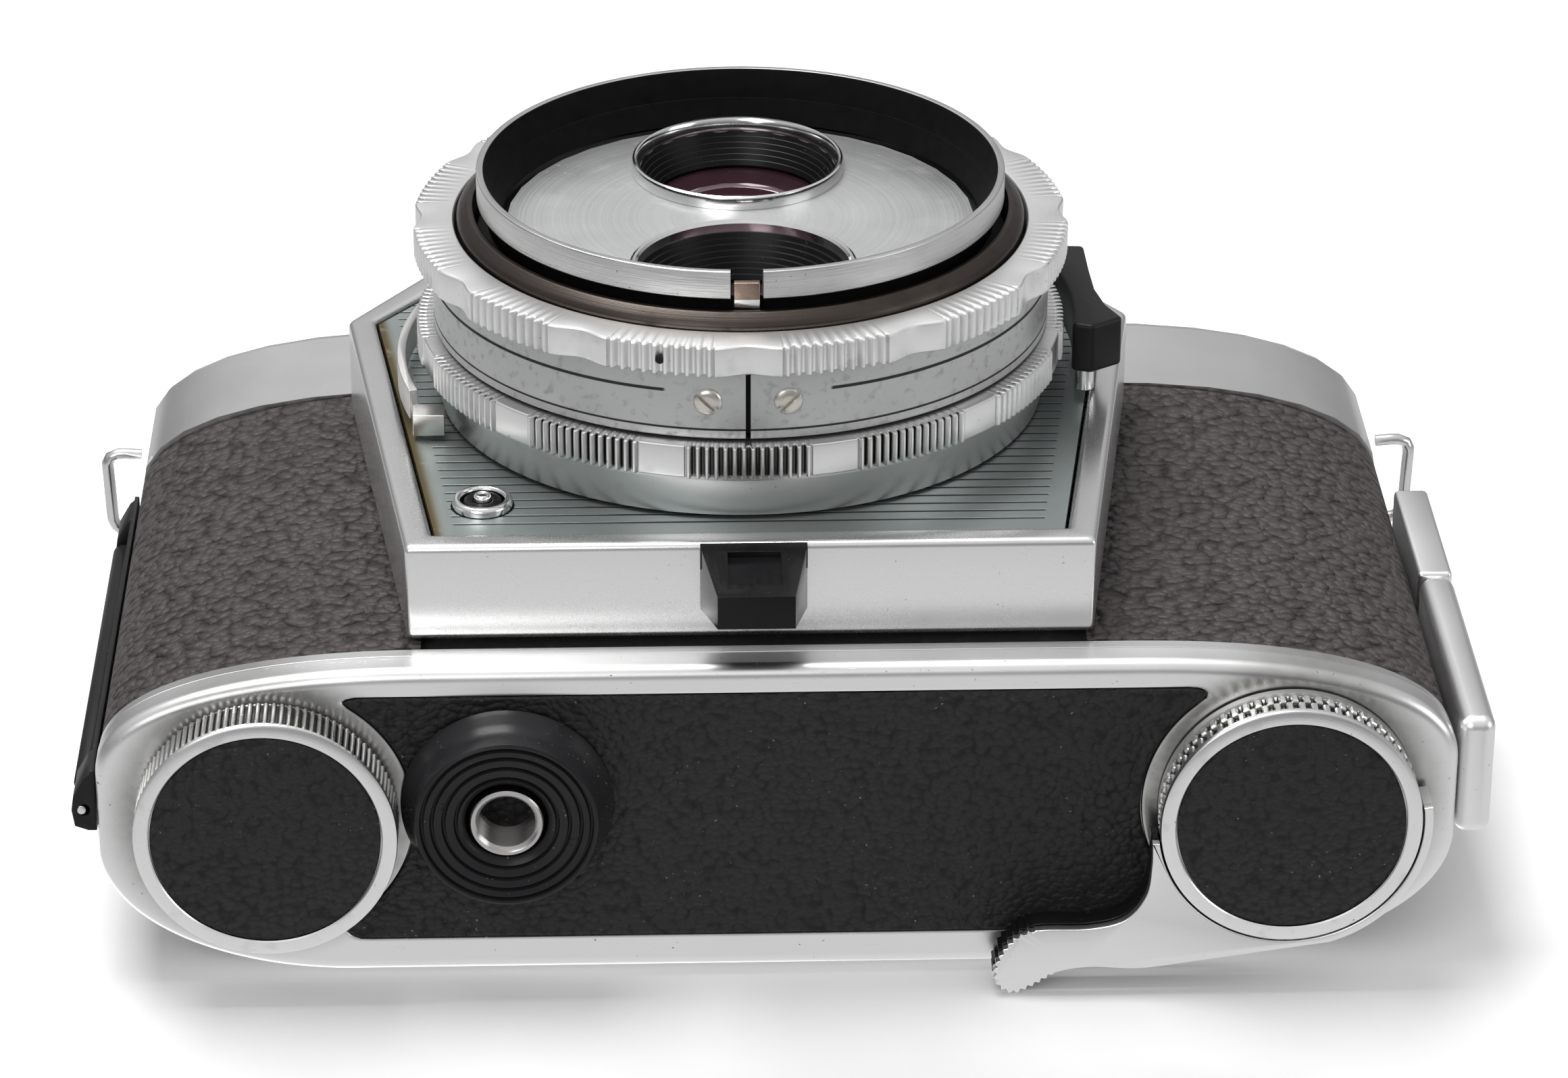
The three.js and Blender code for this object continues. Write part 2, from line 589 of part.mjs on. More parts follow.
function addBackDoor() {
  const { x, y, pinR } = HINGE;
  const { inner, outer, front, back, low, joint, high } = LATCH;
  add('back_door', 'casting_grey', backDoor());
  add('door_leather', 'leatherette', common(leatherBand(), box(-80, 80, SPLIT_Y, 20, 0, TOP_Z)));
  add('hinge_barrel', 'matte_black', hingeBarrel());
  add('hinge_leaf', 'matte_black', hingeLeaf());
  add('hinge_pin', 'steel', rodZ(pinR, x, y, 7.4, 68.6, 16));
  add('pressure_plate', 'matte_black', box(FRAME.x - 25, FRAME.x + 25, 9.3, 10.4, 19, 53.6));
  add('pressure_spring', 'steel', pressureSpring());
  add('latch_bar', 'satin_chrome', box(inner, outer, front, back, low, joint - GAP));
  add('latch_guide', 'satin_chrome', box(inner, outer, front, back, joint, high));
}

// ---- lens unit -----------------------------------------------------------------------------------------
function focusRing() {
  const { r, back, front } = FOCUS_RING;
  return tubeY(RING_BORE, r, LENS.x, LENS.z, front, back, 44);
}

function focusSkirt() {
  const { low, high, back, front } = SKIRT;
  return turnedY([[RING_BORE, front], [high, front], [low, back], [RING_BORE, back]], LENS.x, LENS.z, 44);
}

// Two-bore shutter housing: a drum, a nose for the front plate, and a barrel that slides in the helicoid.
function shutterHousing() {
  const { x, z } = LENS;
  const drum = [
    [0, -45.0], [27.0, -45.0], [27.0, -43.2], [BAND.inner - GAP, -43.2], [BAND.inner - GAP, -35.9],
    [BARREL_R, -35.9], [BARREL_R, -23], [0, -23],
  ];
  const bores = [
    rodY(10.3, x, VIEWING_Z, -50, -20),
    rodY(11.6, x, TAKING_Z, -50, -38.5),
    rodY(8.6, x, TAKING_Z, -39, -20),
  ];
  return cut(turnedY(drum, x, z), ...bores);
}

function clampBand() {
  const { outer, inner, back, front } = BAND;
  const slit = box(LENS.x - 0.25, LENS.x + 0.25, front - 1, back + 1, LENS.z - outer - 1, LENS.z);
  return cut(tubeY(inner, outer, LENS.x, LENS.z, front, back, 44), slit);
}

// Cheese-head screw in the clamp band, pointing at the lens axis; side is -1 or 1.
function bandScrew(side) {
  const angle = THREE.MathUtils.degToRad(side * 7.2);
  const head = new THREE.CylinderGeometry(1.25, 1.25, 0.8, 16);
  const slot = new THREE.BoxGeometry(3, 0.5, 0.35).translate(0, 0.4, 0);
  const screw = cut(head, slot).rotateX(-Math.PI / 2).translate(0, -39.9, -BAND.outer - GAP - 0.4);
  return screw.rotateY(-angle).translate(LENS.x, 0, LENS.z);
}

// Shutter-speed ring: twelve raised grips with shallow scallops between them.
function speedRing() {
  const { r, bore, back, front } = SPEED_RING;
  const lobes = 12;
  const steps = lobes * 8;
  const edge = Array.from({ length: steps }, (_, i) => {
    const phase = (i % 8) / 8;
    const radius = phase < 0.5 ? r : r - 0.9 * Math.sin((phase - 0.5) * 2 * Math.PI);
    const angle = (i / steps) * Math.PI * 2;
    return [LENS.x + radius * Math.cos(angle), LENS.z + radius * Math.sin(angle)];
  });
  return cut(prismY(polygon(edge), front, back), rodY(bore, LENS.x, LENS.z, front - 1, back + 1, 36));
}

function hoodTube() {
  const { rimR, rimBore, neckR, floorR } = HOOD;
  const { front, lip, back } = HOOD_Y;
  const profile = [
    [rimBore, front], [rimR, front], [rimR, lip], [neckR, lip], [neckR, back], [floorR, back],
  ];
  const notchLow = LENS.z - rimR - 1;
  const notch = box(LENS.x - 1.6, LENS.x + 1.6, front - 1, lip + GAP, notchLow, notchLow + 3.7);
  return cut(turnedY(profile, LENS.x, LENS.z), notch);
}

function lensFrontPlate() {
  const { x, z } = LENS;
  const disc = rodY(23.9, x, z, FACE_Y.front, FACE_Y.back, 36);
  return cut(disc, rodY(10.3, x, VIEWING_Z, -50, -40), rodY(11.4, x, TAKING_Z, -50, -40));
}

function lensElement(z, r, front, back) {
  const bulge = 1.2;
  const half = [0.35, 0.7, 1].map((t) => [r * t, front + bulge * t * t]);
  return turnedY([[0, front], ...half, [r, back], [0, back]], LENS.x, z, 20);
}

function takingBarrel() {
  const steps = 5;
  const inner = Array.from({ length: steps }, (_, i) => {
    const radius = 10.2 - (i * 2.6) / (steps - 1);
    return [[radius, -46.2 + i * 1.1], [radius, -45.1 + i * 1.1]];
  }).flat();
  return turnedY([...inner, [11.0, -39.6], [11.0, -46.2]].reverse(), LENS.x, TAKING_Z, 24);
}

function addLensUnit() {
  const { x, z } = LENS;
  const ring = APERTURE_RING;
  add('focus_ring', 'ring_aluminium', focusRing());
  add('focus_skirt', 'band_grey', focusSkirt());
  add('shutter_housing', 'matte_black', shutterHousing());
  add('clamp_band', 'band_grey', clampBand());
  add('band_screw_left', 'steel', bandScrew(-1));
  add('band_screw_right', 'steel', bandScrew(1));
  add('speed_ring', 'ring_aluminium', speedRing());
  add('aperture_ring', 'bronze', tubeY(ring.bore, ring.r, x, z, ring.front, ring.back));
  add('hood_tube', 'ring_aluminium', hoodTube());
  add('index_tab', 'bright_chrome', box(x - 1.3, x + 1.3, -50.6, -46.6, z - 27.0, z - 26.2));
  add('lens_front_plate', 'satin_chrome', lensFrontPlate());
  add('viewing_bezel', 'bright_chrome', tubeY(9.0, 9.95, x, VIEWING_Z, -47.4, -41, 32));
  add('viewing_lens', 'coated_glass', lensElement(VIEWING_Z, 8.6, -43.6, -41));
  add('taking_barrel', 'matte_black', takingBarrel());
  add('taking_lens', 'coated_glass', lensElement(TAKING_Z, 7.2, -42.2, -39.8));
}

// ---- release and self-timer levers ------------------------------------------------------------------------
const RELEASE_Y = { front: -36.0, back: -30.6 };
const RELEASE_INNER = 34.3;

function releaseLever() {
  const inner = arcPoints(LENS.x, LENS.z, RELEASE_INNER, 26, -9, 8);
  const outer = [[33.2, 42.9], [36.5, 45.2], [35.0, 48.6], [34.2, 52.6], [34.0, 57.5], [33.9, 63.6]];
  return prismY(polygon([...inner, ...outer].reverse()), RELEASE_Y.front, RELEASE_Y.back);
}

function timerLever() {
  const inner = arcPoints(LENS.x, LENS.z, 34.6, 197, 158, 10);
  const outer = arcPoints(LENS.x, LENS.z, 35.5, 158, 197, 10);
  const strip = prismY(polygon([...inner, ...outer]), -31.6, -28.4);
  return join(strip, box(-36.3, -33.1, -29.9, -27.6, 36.2, 39.0));
}

function addLevers() {
  add('release_lever', 'matte_black', releaseLever());
  add('timer_lever', 'steel', timerLever());
}

// ---- assembly ---------------------------------------------------------------------------------------
addBody();
addLensBlock();
addTripodBoss();
addFinder();
addTransport();
addBackDoor();
addLensUnit();
addLevers();

// The origin is under the middle of the whole camera, hood and lever tip included, at the rest surface.
group.position.y = -(HOOD_Y.front + LEVER_TIP_Y) / 2;

export default group;
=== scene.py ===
import math

import bmesh
import bpy
import numpy as np
from mathutils import Matrix, Vector


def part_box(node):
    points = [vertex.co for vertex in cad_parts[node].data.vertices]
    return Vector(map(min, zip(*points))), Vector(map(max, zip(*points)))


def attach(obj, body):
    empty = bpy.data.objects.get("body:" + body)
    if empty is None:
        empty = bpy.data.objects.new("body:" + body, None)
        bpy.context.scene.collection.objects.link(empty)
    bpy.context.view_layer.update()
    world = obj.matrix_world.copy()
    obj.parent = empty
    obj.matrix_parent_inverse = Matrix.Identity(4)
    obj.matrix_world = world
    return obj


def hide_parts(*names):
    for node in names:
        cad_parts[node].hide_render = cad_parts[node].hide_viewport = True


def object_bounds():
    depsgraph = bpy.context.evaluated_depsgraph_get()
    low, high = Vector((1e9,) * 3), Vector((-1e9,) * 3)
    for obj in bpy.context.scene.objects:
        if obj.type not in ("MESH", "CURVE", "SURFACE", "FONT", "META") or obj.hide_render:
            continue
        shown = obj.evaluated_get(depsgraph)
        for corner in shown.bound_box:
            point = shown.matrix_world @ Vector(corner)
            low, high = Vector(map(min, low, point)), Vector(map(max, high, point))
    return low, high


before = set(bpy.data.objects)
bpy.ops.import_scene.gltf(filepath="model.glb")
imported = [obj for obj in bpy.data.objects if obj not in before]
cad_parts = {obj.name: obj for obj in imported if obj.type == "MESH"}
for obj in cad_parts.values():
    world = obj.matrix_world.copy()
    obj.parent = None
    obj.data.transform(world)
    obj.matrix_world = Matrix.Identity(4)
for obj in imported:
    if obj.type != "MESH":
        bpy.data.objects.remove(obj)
cad_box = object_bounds()

MM = 0.001

# ---- viewpoint ------------------------------------------------------------------------------------------
# The camera lies on its back: the viewer looks at its base, a little over the lens mount. The lens is long,
# so the perspective is gentle.
VIEW_FROM = Vector((-14.72, -251.725, -465.82)) * MM
VIEW_PITCH = math.radians(26.77)
VIEW_YAW = math.radians(-1.84)
VIEW_ROLL = math.radians(0.14)

ahead = Vector((
    -math.sin(VIEW_YAW) * math.cos(VIEW_PITCH),
    math.sin(VIEW_PITCH),
    math.cos(VIEW_YAW) * math.cos(VIEW_PITCH),
))
level_right = ahead.cross(Vector((0, -1, 0))).normalized()
level_up = level_right.cross(ahead)
right = level_right * math.cos(VIEW_ROLL) + level_up * math.sin(VIEW_ROLL)
up = level_up * math.cos(VIEW_ROLL) - level_right * math.sin(VIEW_ROLL)

view_data = bpy.data.cameras.new("view")
view_data.sensor_fit = "HORIZONTAL"
view_data.sensor_width = 36
view_data.lens = 125.7
view_data.clip_start = 0.01
view = bpy.data.objects.new("view", view_data)
view.matrix_world = Matrix.Translation(VIEW_FROM) @ Matrix((right, up, -ahead)).transposed().to_4x4()
bpy.context.scene.collection.objects.link(view)
bpy.context.scene.camera = view


# ---- table and light ------------------------------------------------------------------------------------
# The camera lies with its back on a plain white table. A large soft light hangs over the lenses and three
# weaker ones fill in. The room is pale, darker near the horizon, so that the metal has something to reflect.
class Wire:
    """A socket of a material's node tree. Sums and products of wires add Math nodes to the tree."""

    def __init__(self, tree, socket=None):
        self.tree = tree
        self.socket = socket

    def node(self, kind, settings=None, sockets=None, output=0):
        """A new node: its settings first, then the values or links of its sockets. Gives one output."""
        made = self.tree.nodes.new(kind)
        for name, value in (settings or {}).items():
            if name == "stops":
                ramp = made.color_ramp.elements
                for place, colour in value:
                    stop = ramp.new(place)
                    stop.color = (*colour, 1)
                ramp.remove(ramp[0])
                ramp.remove(ramp[-1])
            else:
                setattr(made, name, value)
        for name, value in (sockets or {}).items():
            if isinstance(value, Wire):
                self.tree.links.new(value.socket, made.inputs[name])
            else:
                made.inputs[name].default_value = value
        return Wire(self.tree, made.outputs[output])

    def math(self, operation, *others):
        return self.node("ShaderNodeMath", {"operation": operation}, dict(enumerate((self, *others))))

    def __add__(self, other):
        return self.math("ADD", other)

    def __sub__(self, other):
        return self.math("SUBTRACT", other)

    def __mul__(self, other):
        return self.math("MULTIPLY", other)

    def __truediv__(self, other):
        return self.math("DIVIDE", other)

    def __rsub__(self, other):
        return self.math("MULTIPLY_ADD", -1.0, other)

    __radd__ = __add__
    __rmul__ = __mul__

    def step(self, low, high, start=0.0, end=1.0):
        """A smooth ramp from start at low to end at high."""
        settings = {"interpolation_type": "SMOOTHSTEP"}
        sockets = {"Value": self, "From Min": low, "From Max": high, "To Min": start, "To Max": end}
        return self.node("ShaderNodeMapRange", settings, sockets)

    def noise(self, scale, detail=2.0, distortion=0.0):
        """Noise from 0 to 1 over this place, with scale lumps per unit."""
        sockets = {"Vector": self, "Scale": scale, "Detail": detail, "Distortion": distortion}
        return self.node("ShaderNodeTexNoise", None, sockets)

    def parts(self):
        return [self.node("ShaderNodeSeparateXYZ", None, {"Vector": self}, name) for name in "XYZ"]

    def joined(self, x, y, z):
        return self.node("ShaderNodeCombineXYZ", None, {"X": x, "Y": y, "Z": z})

    def blend(self, first, second):
        """The first colour where this wire is 0, the second where it is 1."""
        colours = {6: first if isinstance(first, Wire) else (*first, 1)}
        colours[7] = second if isinstance(second, Wire) else (*second, 1)
        settings = {"data_type": "RGBA"}
        return self.node("ShaderNodeMix", settings, {"Factor": self, **colours}, 2)

    def bump(self, depth, normal=None):
        """A normal tilted by this height, which is depth millimetres where it is 1."""
        sockets = {"Height": self, "Distance": depth * MM, "Strength": 1.0}
        if normal:
            sockets["Normal"] = normal
        return self.node("ShaderNodeBump", None, sockets)


def new_finish(name, centre=(0, 0, 0)):
    """A new material, and the place on the piece in millimetres from centre."""
    material = bpy.data.materials.new(name)
    material.use_nodes = True
    start = Wire(material.node_tree).node("ShaderNodeTexCoord", None, None, "Object")
    sockets = {"Vector": start, "Location": [-c / MM for c in centre], "Scale": [1 / MM] * 3}
    return material, start.node("ShaderNodeMapping", None, sockets)


def lay_on(material, **inputs):
    """Sets or links the main shader's sockets: base_color stands for Base Color, and so on."""
    shader = material.node_tree.nodes["Principled BSDF"]
    for name, value in inputs.items():
        socket = shader.inputs[name.replace("_", " ").title().replace("Ior", "IOR")]
        if isinstance(value, Wire):
            material.node_tree.links.new(value.socket, socket)
        else:
            socket.default_value = (*value, 1) if isinstance(value, tuple) else value
    return material


def white_sheet(name, corners):
    """A flat sheet of white paper. It is seen from its front only, takes shadows, casts none, and isn't
    mirrored in the metal. Painted shade makes it darker towards the viewer."""
    mesh = bpy.data.meshes.new(name)
    mesh.from_pydata(corners, [], [(0, 1, 2, 3)])
    sheet = bpy.data.objects.new(name, mesh)
    bpy.context.scene.collection.objects.link(sheet)
    material, place = new_finish(name)
    # Painted shade: the paper darkens towards the viewer.
    away = place.parts()[2].step(-70, 30)
    paper_tone_and_shade = (away + place.noise(0.03, 5) * 0.2 - 0.1).blend((0.24, 0.24, 0.24), (0.95, 0.95, 0.95))
    lay_on(material, base_color=paper_tone_and_shade, roughness=0.8, specular_ior_level=0.1)
    tree = material.node_tree
    behind = place.node("ShaderNodeNewGeometry", None, None, "Backfacing")
    clear = place.node("ShaderNodeBsdfTransparent")
    paper = Wire(tree, tree.nodes["Principled BSDF"].outputs[0])
    seen = place.node("ShaderNodeMixShader", None, {"Fac": behind, 1: paper, 2: clear})
    tree.links.new(seen.socket, tree.nodes["Material Output"].inputs["Surface"])
    mesh.materials.append(material)
    sheet.visible_diffuse = False
    sheet.visible_glossy = False
    sheet.visible_shadow = False


TABLE_HALF = 1.6
LIT_POINT = Vector((0, 0.01, 0.04))
table_y = cad_box[1][1] + 0.2 * MM
white_sheet("table", [
    (-TABLE_HALF, table_y, -TABLE_HALF), (TABLE_HALF, table_y, -TABLE_HALF),
    (TABLE_HALF, table_y, TABLE_HALF), (-TABLE_HALF, table_y, TABLE_HALF),
])
white_sheet("ground", [
    (-TABLE_HALF, -TABLE_HALF, 0), (TABLE_HALF, -TABLE_HALF, 0),
    (TABLE_HALF, TABLE_HALF, 0), (-TABLE_HALF, TABLE_HALF, 0),
])


def soft_light(name, place, size, power):
    """A square area light at place, facing the middle of the camera."""
    data = bpy.data.lights.new(name, "AREA")
    data.size = size
    data.energy = power
    lamp = bpy.data.objects.new(name, data)
    lamp.location = place
    lamp.rotation_euler = (LIT_POINT - Vector(place)).to_track_quat("-Z", "Y").to_euler()
    bpy.context.scene.collection.objects.link(lamp)


soft_light("light_over", (-0.22, -0.9, 0.2), 0.5, 9.5)
soft_light("light_viewer", (-0.35, -0.45, -0.75), 0.5, 2.2)
soft_light("light_side", (0.85, -0.25, -0.3), 0.5, 1.5)
soft_light("light_behind", (-0.3, 0.8, 0.5), 0.7, 2)

world = bpy.data.worlds.new("room")
world.use_nodes = True
room = Wire(world.node_tree)
aim = room.node("ShaderNodeTexCoord", None, None, "Generated")
height = aim.parts()[1] * -1
sky = room.node(
    "ShaderNodeValToRGB",
    {"stops": [
        (0.0, (0.97, 0.97, 0.98)), (0.34, (0.88, 0.88, 0.89)), (0.45, (0.3, 0.3, 0.31)),
        (0.58, (0.3, 0.3, 0.31)), (0.72, (0.6, 0.6, 0.61)), (1.0, (0.6, 0.6, 0.61)),
    ]},
    {"Fac": height * 0.5 + 0.5},
)
room_light = world.node_tree.nodes["Background"]
world.node_tree.links.new(sky.socket, room_light.inputs["Color"])
room_light.inputs["Strength"].default_value = 0.85
bpy.context.scene.world = world
bpy.context.scene.view_settings.view_transform = "Standard"


# ---- leather covering -----------------------------------------------------------------------------------
# Goatskin-grain covering glued round the body and the door: dark brown-black, creased into small pebbles,
# with its cut edges rounded over.
def finish_mesh(name, points, faces, crease):
    """A smooth-shaded piece, flat on its many-sided end faces, with doubled points merged."""
    mesh = bpy.data.meshes.new(name)
    mesh.from_pydata(points.tolist(), [], faces)
    shape = bmesh.new()
    shape.from_mesh(mesh)
    bmesh.ops.remove_doubles(shape, verts=shape.verts, dist=1e-6)
    bmesh.ops.delete(shape, geom=[e for e in shape.edges if not e.link_faces], context="EDGES")
    bmesh.ops.recalc_face_normals(shape, faces=shape.faces)
    shape.to_mesh(mesh)
    shape.free()
    mesh.polygons.foreach_set("use_smooth", [len(face.vertices) < 5 for face in mesh.polygons])
    mesh.set_sharp_from_angle(angle=math.radians(crease))
    piece = bpy.data.objects.new(name, mesh)
    bpy.context.scene.collection.objects.link(piece)
    return piece


def skin(name, loops, ring=False, crease=35.0):
    """A closed piece: loops is rows of closed loops of points, and faces join each row to the next. A ring
    joins its last row to its first, and any other piece has its two end rows filled."""
    rows, columns = loops.shape[:2]
    last = rows if ring else rows - 1
    row, column = np.meshgrid(np.arange(last), np.arange(columns), indexing="ij")
    here = row * columns + column
    beside = row * columns + (column + 1) % columns
    above = (row + 1) % rows * columns
    faces = np.stack([here, beside, above + (column + 1) % columns, above + column], axis=-1)
    faces = faces.reshape(-1, 4).tolist()
    if not ring:
        faces.append(list(range(columns))[::-1])
        faces.append([(rows - 1) * columns + i for i in range(columns)])
    return finish_mesh(name, loops.reshape(-1, 3), faces, crease)


def fillet(corners, radius, steps=3):
    """A closed outline with each corner cut into a short curve: a quadratic curve from radius before the
    corner to radius after it, or from halfway along a shorter side."""
    corners = np.asarray(corners, float)
    before = np.roll(corners, 1, axis=0) - corners
    after = np.roll(corners, -1, axis=0) - corners
    points = []
    share = np.linspace(0, 1, steps + 1)[:, None]
    for corner, back, on in zip(corners, before, after):
        start = corner + back * min(0.5, radius / np.linalg.norm(back))
        end = corner + on * min(0.5, radius / np.linalg.norm(on))
        points.append((1 - share) ** 2 * start + 2 * share * (1 - share) * corner + share**2 * end)
    return np.concatenate(points)


cover_low, cover_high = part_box("bottom_cover")
HALF_WIDTH = (cover_high.x - cover_low.x) / 2
FRONT_Y, BACK_Y = cover_low.y, cover_high.y
FRONT_CORNER = (34 * MM, 12 * MM)
REAR_CORNER = (25 * MM, 14 * MM)
CORNER_STEPS = 40


def body_plan(inset, power=2.2, along=24):
    """The camera's plan as a closed loop, drawn in by inset: a superellipse quarter of that power at each
    front corner, an ellipse quarter at each rear one, and straight runs between them."""
    angle = np.linspace(0, math.pi / 2, CORNER_STEPS)
    front = np.stack([
        HALF_WIDTH - FRONT_CORNER[0] + (FRONT_CORNER[0] - inset) * np.sin(angle) ** (2 / power),
        FRONT_Y + FRONT_CORNER[1] - (FRONT_CORNER[1] - inset) * np.cos(angle) ** (2 / power),
    ], axis=1)
    rear = np.stack([
        HALF_WIDTH - REAR_CORNER[0] + (REAR_CORNER[0] - inset) * np.cos(angle),
        BACK_Y - REAR_CORNER[1] + (REAR_CORNER[1] - inset) * np.sin(angle),
    ], axis=1)
    span = np.linspace(0, 1, along, endpoint=False)[:, None]
    front_run = np.array([0, front[0, 1]]) * (1 - span) + front[0] * span
    side_run = front[-1] * (1 - span[1:]) + rear[0] * span[1:]
    back_run = rear[-1] * (1 - span[1:]) + np.array([0, rear[-1, 1]]) * span[1:]
    half = np.concatenate([front_run, front, side_run, rear, back_run])
    mirrored = half[:0:-1] * [-1, 1]
    middle = np.array([[0, rear[-1, 1]]])
    return np.concatenate([half, middle, mirrored])


def pebbles(place, size):
    """How near creased leather is to the valleys between its plump cells of about size millimetres: 0 in the
    middle of a cell to 1 in a valley, for small cells and for the larger folds that they lie in."""
    x, y, z = place.parts()
    stirred = place.joined(
        x * 0.85 + place.noise(0.45, 2) * 1.3,
        y + place.noise(0.5, 2) * 1.0,
        z * 1.1 + place.noise(0.5, 2) * 1.2,
    )
    cells = stirred.node("ShaderNodeTexVoronoi", {"feature": "F1"}, {"Vector": stirred, "Scale": 1 / size})
    folds = stirred.node("ShaderNodeTexVoronoi", {"feature": "F1"}, {"Vector": stirred, "Scale": 0.37 / size})
    return cells * cells * 1.3, folds * folds


def leather(name, size, colour, worn, depth, dust):
    """Creased black-brown leather: painted shade in its valleys, a little polished on top, dusty in places.
    """
    material, place = new_finish(name)
    valley, fold = pebbles(place, size)
    fine = place.noise(5.0, 4)
    cloud = place.noise(0.07, 3)
    specks = place.noise(2.6, 2).step(0.7, 0.76) * place.noise(0.12, 2).step(0.5, 0.6) * dust
    top = (cloud * 0.7 + fine * 0.3).blend(colour, worn)
    # Painted shade darkens the valleys between the pebbles and the folds.
    valley_shade = valley.step(0.25, 0.8) * 0.55 + fold.step(0.4, 0.8) * 0.12
    tone = specks.blend(valley_shade.blend(top, tuple(c * 0.25 for c in colour)), (0.22, 0.2, 0.16))
    height = fine * 0.12 - valley - fold * 0.8
    return lay_on(
        material,
        base_color=tone,
        roughness=0.44 + valley * 0.25 + fine * 0.1,
        specular_ior_level=0.36,
        normal=height.bump(depth * size),
    )


skin_low, skin_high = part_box("front_leather_left")
SPLIT_Y = skin_high.y
LEFT_EDGE_X = skin_high.x
RIGHT_EDGE_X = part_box("front_leather_right")[0].x
SKIN_OUT = 0.1 * MM
SKIN_IN = 0.7 * MM
skin_section = fillet(
    [(SKIN_IN, skin_low.z), (SKIN_OUT, skin_low.z), (SKIN_OUT, skin_high.z), (SKIN_IN, skin_high.z)],
    0.25 * MM,
)


def covering(name, keep):
    """The covering along the stretch of the body plan where keep(x, y) holds: its section, inset by height,
    carried along the plan."""
    outer, inner = body_plan(0), body_plan(1 * MM)
    start = -np.argmin(keep(*outer.T))
    outer, inner = np.roll(outer, start, axis=0), np.roll(inner, start, axis=0)
    kept = keep(*outer.T)
    share = skin_section[:, 0][None, :, None] / (1 * MM)
    flat = outer[kept][:, None, :] * (1 - share) + inner[kept][:, None, :] * share
    heights = np.broadcast_to(skin_section[:, 1][None, :, None], (*flat.shape[:2], 1))
    return skin(name, np.concatenate([flat, heights], axis=2))


def fit(piece, material, slot_name, body, *nodes):
    """Gives a piece its material, and sets it on its body in place of these nodes. slot_name is not used."""
    piece.data.materials.clear()
    piece.data.materials.append(material)
    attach(piece, body)
    if nodes:
        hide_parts(*nodes)
    return piece


grained_leather = leather("grained_leather", 1.2, (0.036, 0.03, 0.029), (0.062, 0.053, 0.051), 0.7, 0.2)
for name, keep, body, node in (
    ("covering_left", lambda x, y: (x < LEFT_EDGE_X) & (y < SPLIT_Y), "body", "front_leather_left"),
    ("covering_right", lambda x, y: (x > RIGHT_EDGE_X) & (y < SPLIT_Y), "body", "front_leather_right"),
    ("covering_door", lambda x, y: y > SPLIT_Y + 0.3 * MM, "door", "door_leather"),
):
    fit(covering(name, keep), grained_leather, "leatherette", body, node)

# ---- bottom cover ---------------------------------------------------------------------------------------
# Pressed brass tray in satin chrome with a rounded lower edge, a fine raised line near its rim, and a shallow
# recess in its face for the leather. Years of handling have pitted it, and painted shade darkens it round the
# two knobs.
COVER_EDGE = 1.3 * MM
WALL = 0.75 * MM
LINE_Z = 8.55 * MM
PANEL_CORNER = 2.2 * MM
PANEL_BITE = 14.5 * MM
RECESS = 0.6 * MM
COVER_MIDDLE = np.array([0, (FRONT_Y + BACK_Y) / 2])
panel_low, panel_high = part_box("base_leatherette")


def middle_of(node):
    """The middle of a CAD node's box."""
    low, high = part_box(node)
    return (low + high) / 2


rewind_axis = middle_of("rewind_knob")
wind_axis = middle_of("counter_knob")


def cross(first, second):
    """The cross products of two rows of flat vectors."""
    return first[:, 0] * second[:, 1] - first[:, 1] * second[:, 0]


def panel_reach(angle, grow):
    """How far the leather panel reaches from the cover's middle at each angle: out to a round-cornered
    rectangle, or to the circle round a knob where that is nearer."""
    x0, x1 = panel_low.x - grow, panel_high.x + grow
    y0, y1 = panel_low.y - grow, panel_high.y + grow
    corners = fillet([(x0, y0), (x1, y0), (x1, y1), (x0, y1)], PANEL_CORNER, 10) - COVER_MIDDLE
    far = np.arctan2(corners[:, 1], corners[:, 0])
    order = np.argsort(far)
    start, end = corners[order], np.roll(corners[order], -1, axis=0)
    slot_of = np.searchsorted(far[order], angle) - 1
    start, end = start[slot_of], end[slot_of]
    ray = np.stack([np.cos(angle), np.sin(angle)], axis=1)
    edge = end - start
    reach = cross(start, edge) / cross(ray, edge)
    for axis in (rewind_axis, wind_axis):
        away = np.array([axis.x, axis.y]) - COVER_MIDDLE
        along = ray @ away
        miss = (PANEL_BITE - grow) ** 2 - (away @ away - along**2)
        bite = np.where((miss > 0) & (along > 0), along - np.sqrt(np.maximum(miss, 0)), np.inf)
        reach = np.minimum(reach, bite)
    return reach


def panel_loop(angle, grow):
    """The leather panel's outline, grown by grow all round."""
    reach = panel_reach(angle, grow)[:, None]
    return COVER_MIDDLE + reach * np.stack([np.cos(angle), np.sin(angle)], axis=1)


def cover_plan(inset):
    """The cover's plan drawn in by inset. It is a little squarer at its front corners than the body."""
    return body_plan(inset, 2.4, 60)


def at_height(loop, z):
    """A flat loop lifted to height z."""
    return np.concatenate([loop, np.full((len(loop), 1), z)], axis=1)


def cover_loops(rows):
    """Loops of the cover's plan, each drawn in by an inset at a height."""
    return [at_height(cover_plan(inset), z) for inset, z in rows]


rim_z, face_z = cover_high.z, cover_low.z
round_edge = [
    (COVER_EDGE * (1 - math.cos(a)), face_z + COVER_EDGE * (1 - math.sin(a)))
    for a in np.linspace(0, math.pi / 2, 9)
] + [(COVER_EDGE + 0.15 * MM, face_z), (COVER_EDGE + 0.3 * MM, face_z)]
outside = [
    (WALL, rim_z - 0.1 * MM), (WALL - 0.1 * MM, rim_z), (0.25 * MM, rim_z), (0.08 * MM, rim_z - 0.12 * MM),
    (0.08 * MM, LINE_Z + 0.3 * MM), (0.22 * MM, LINE_Z + 0.22 * MM), (0.22 * MM, LINE_Z + 0.14 * MM),
    (0.02 * MM, LINE_Z + 0.06 * MM), (0.0, LINE_Z), (0.02 * MM, LINE_Z - 0.1 * MM),
]
rim_angle = np.arctan2(*(cover_plan(0) - COVER_MIDDLE).T[::-1])
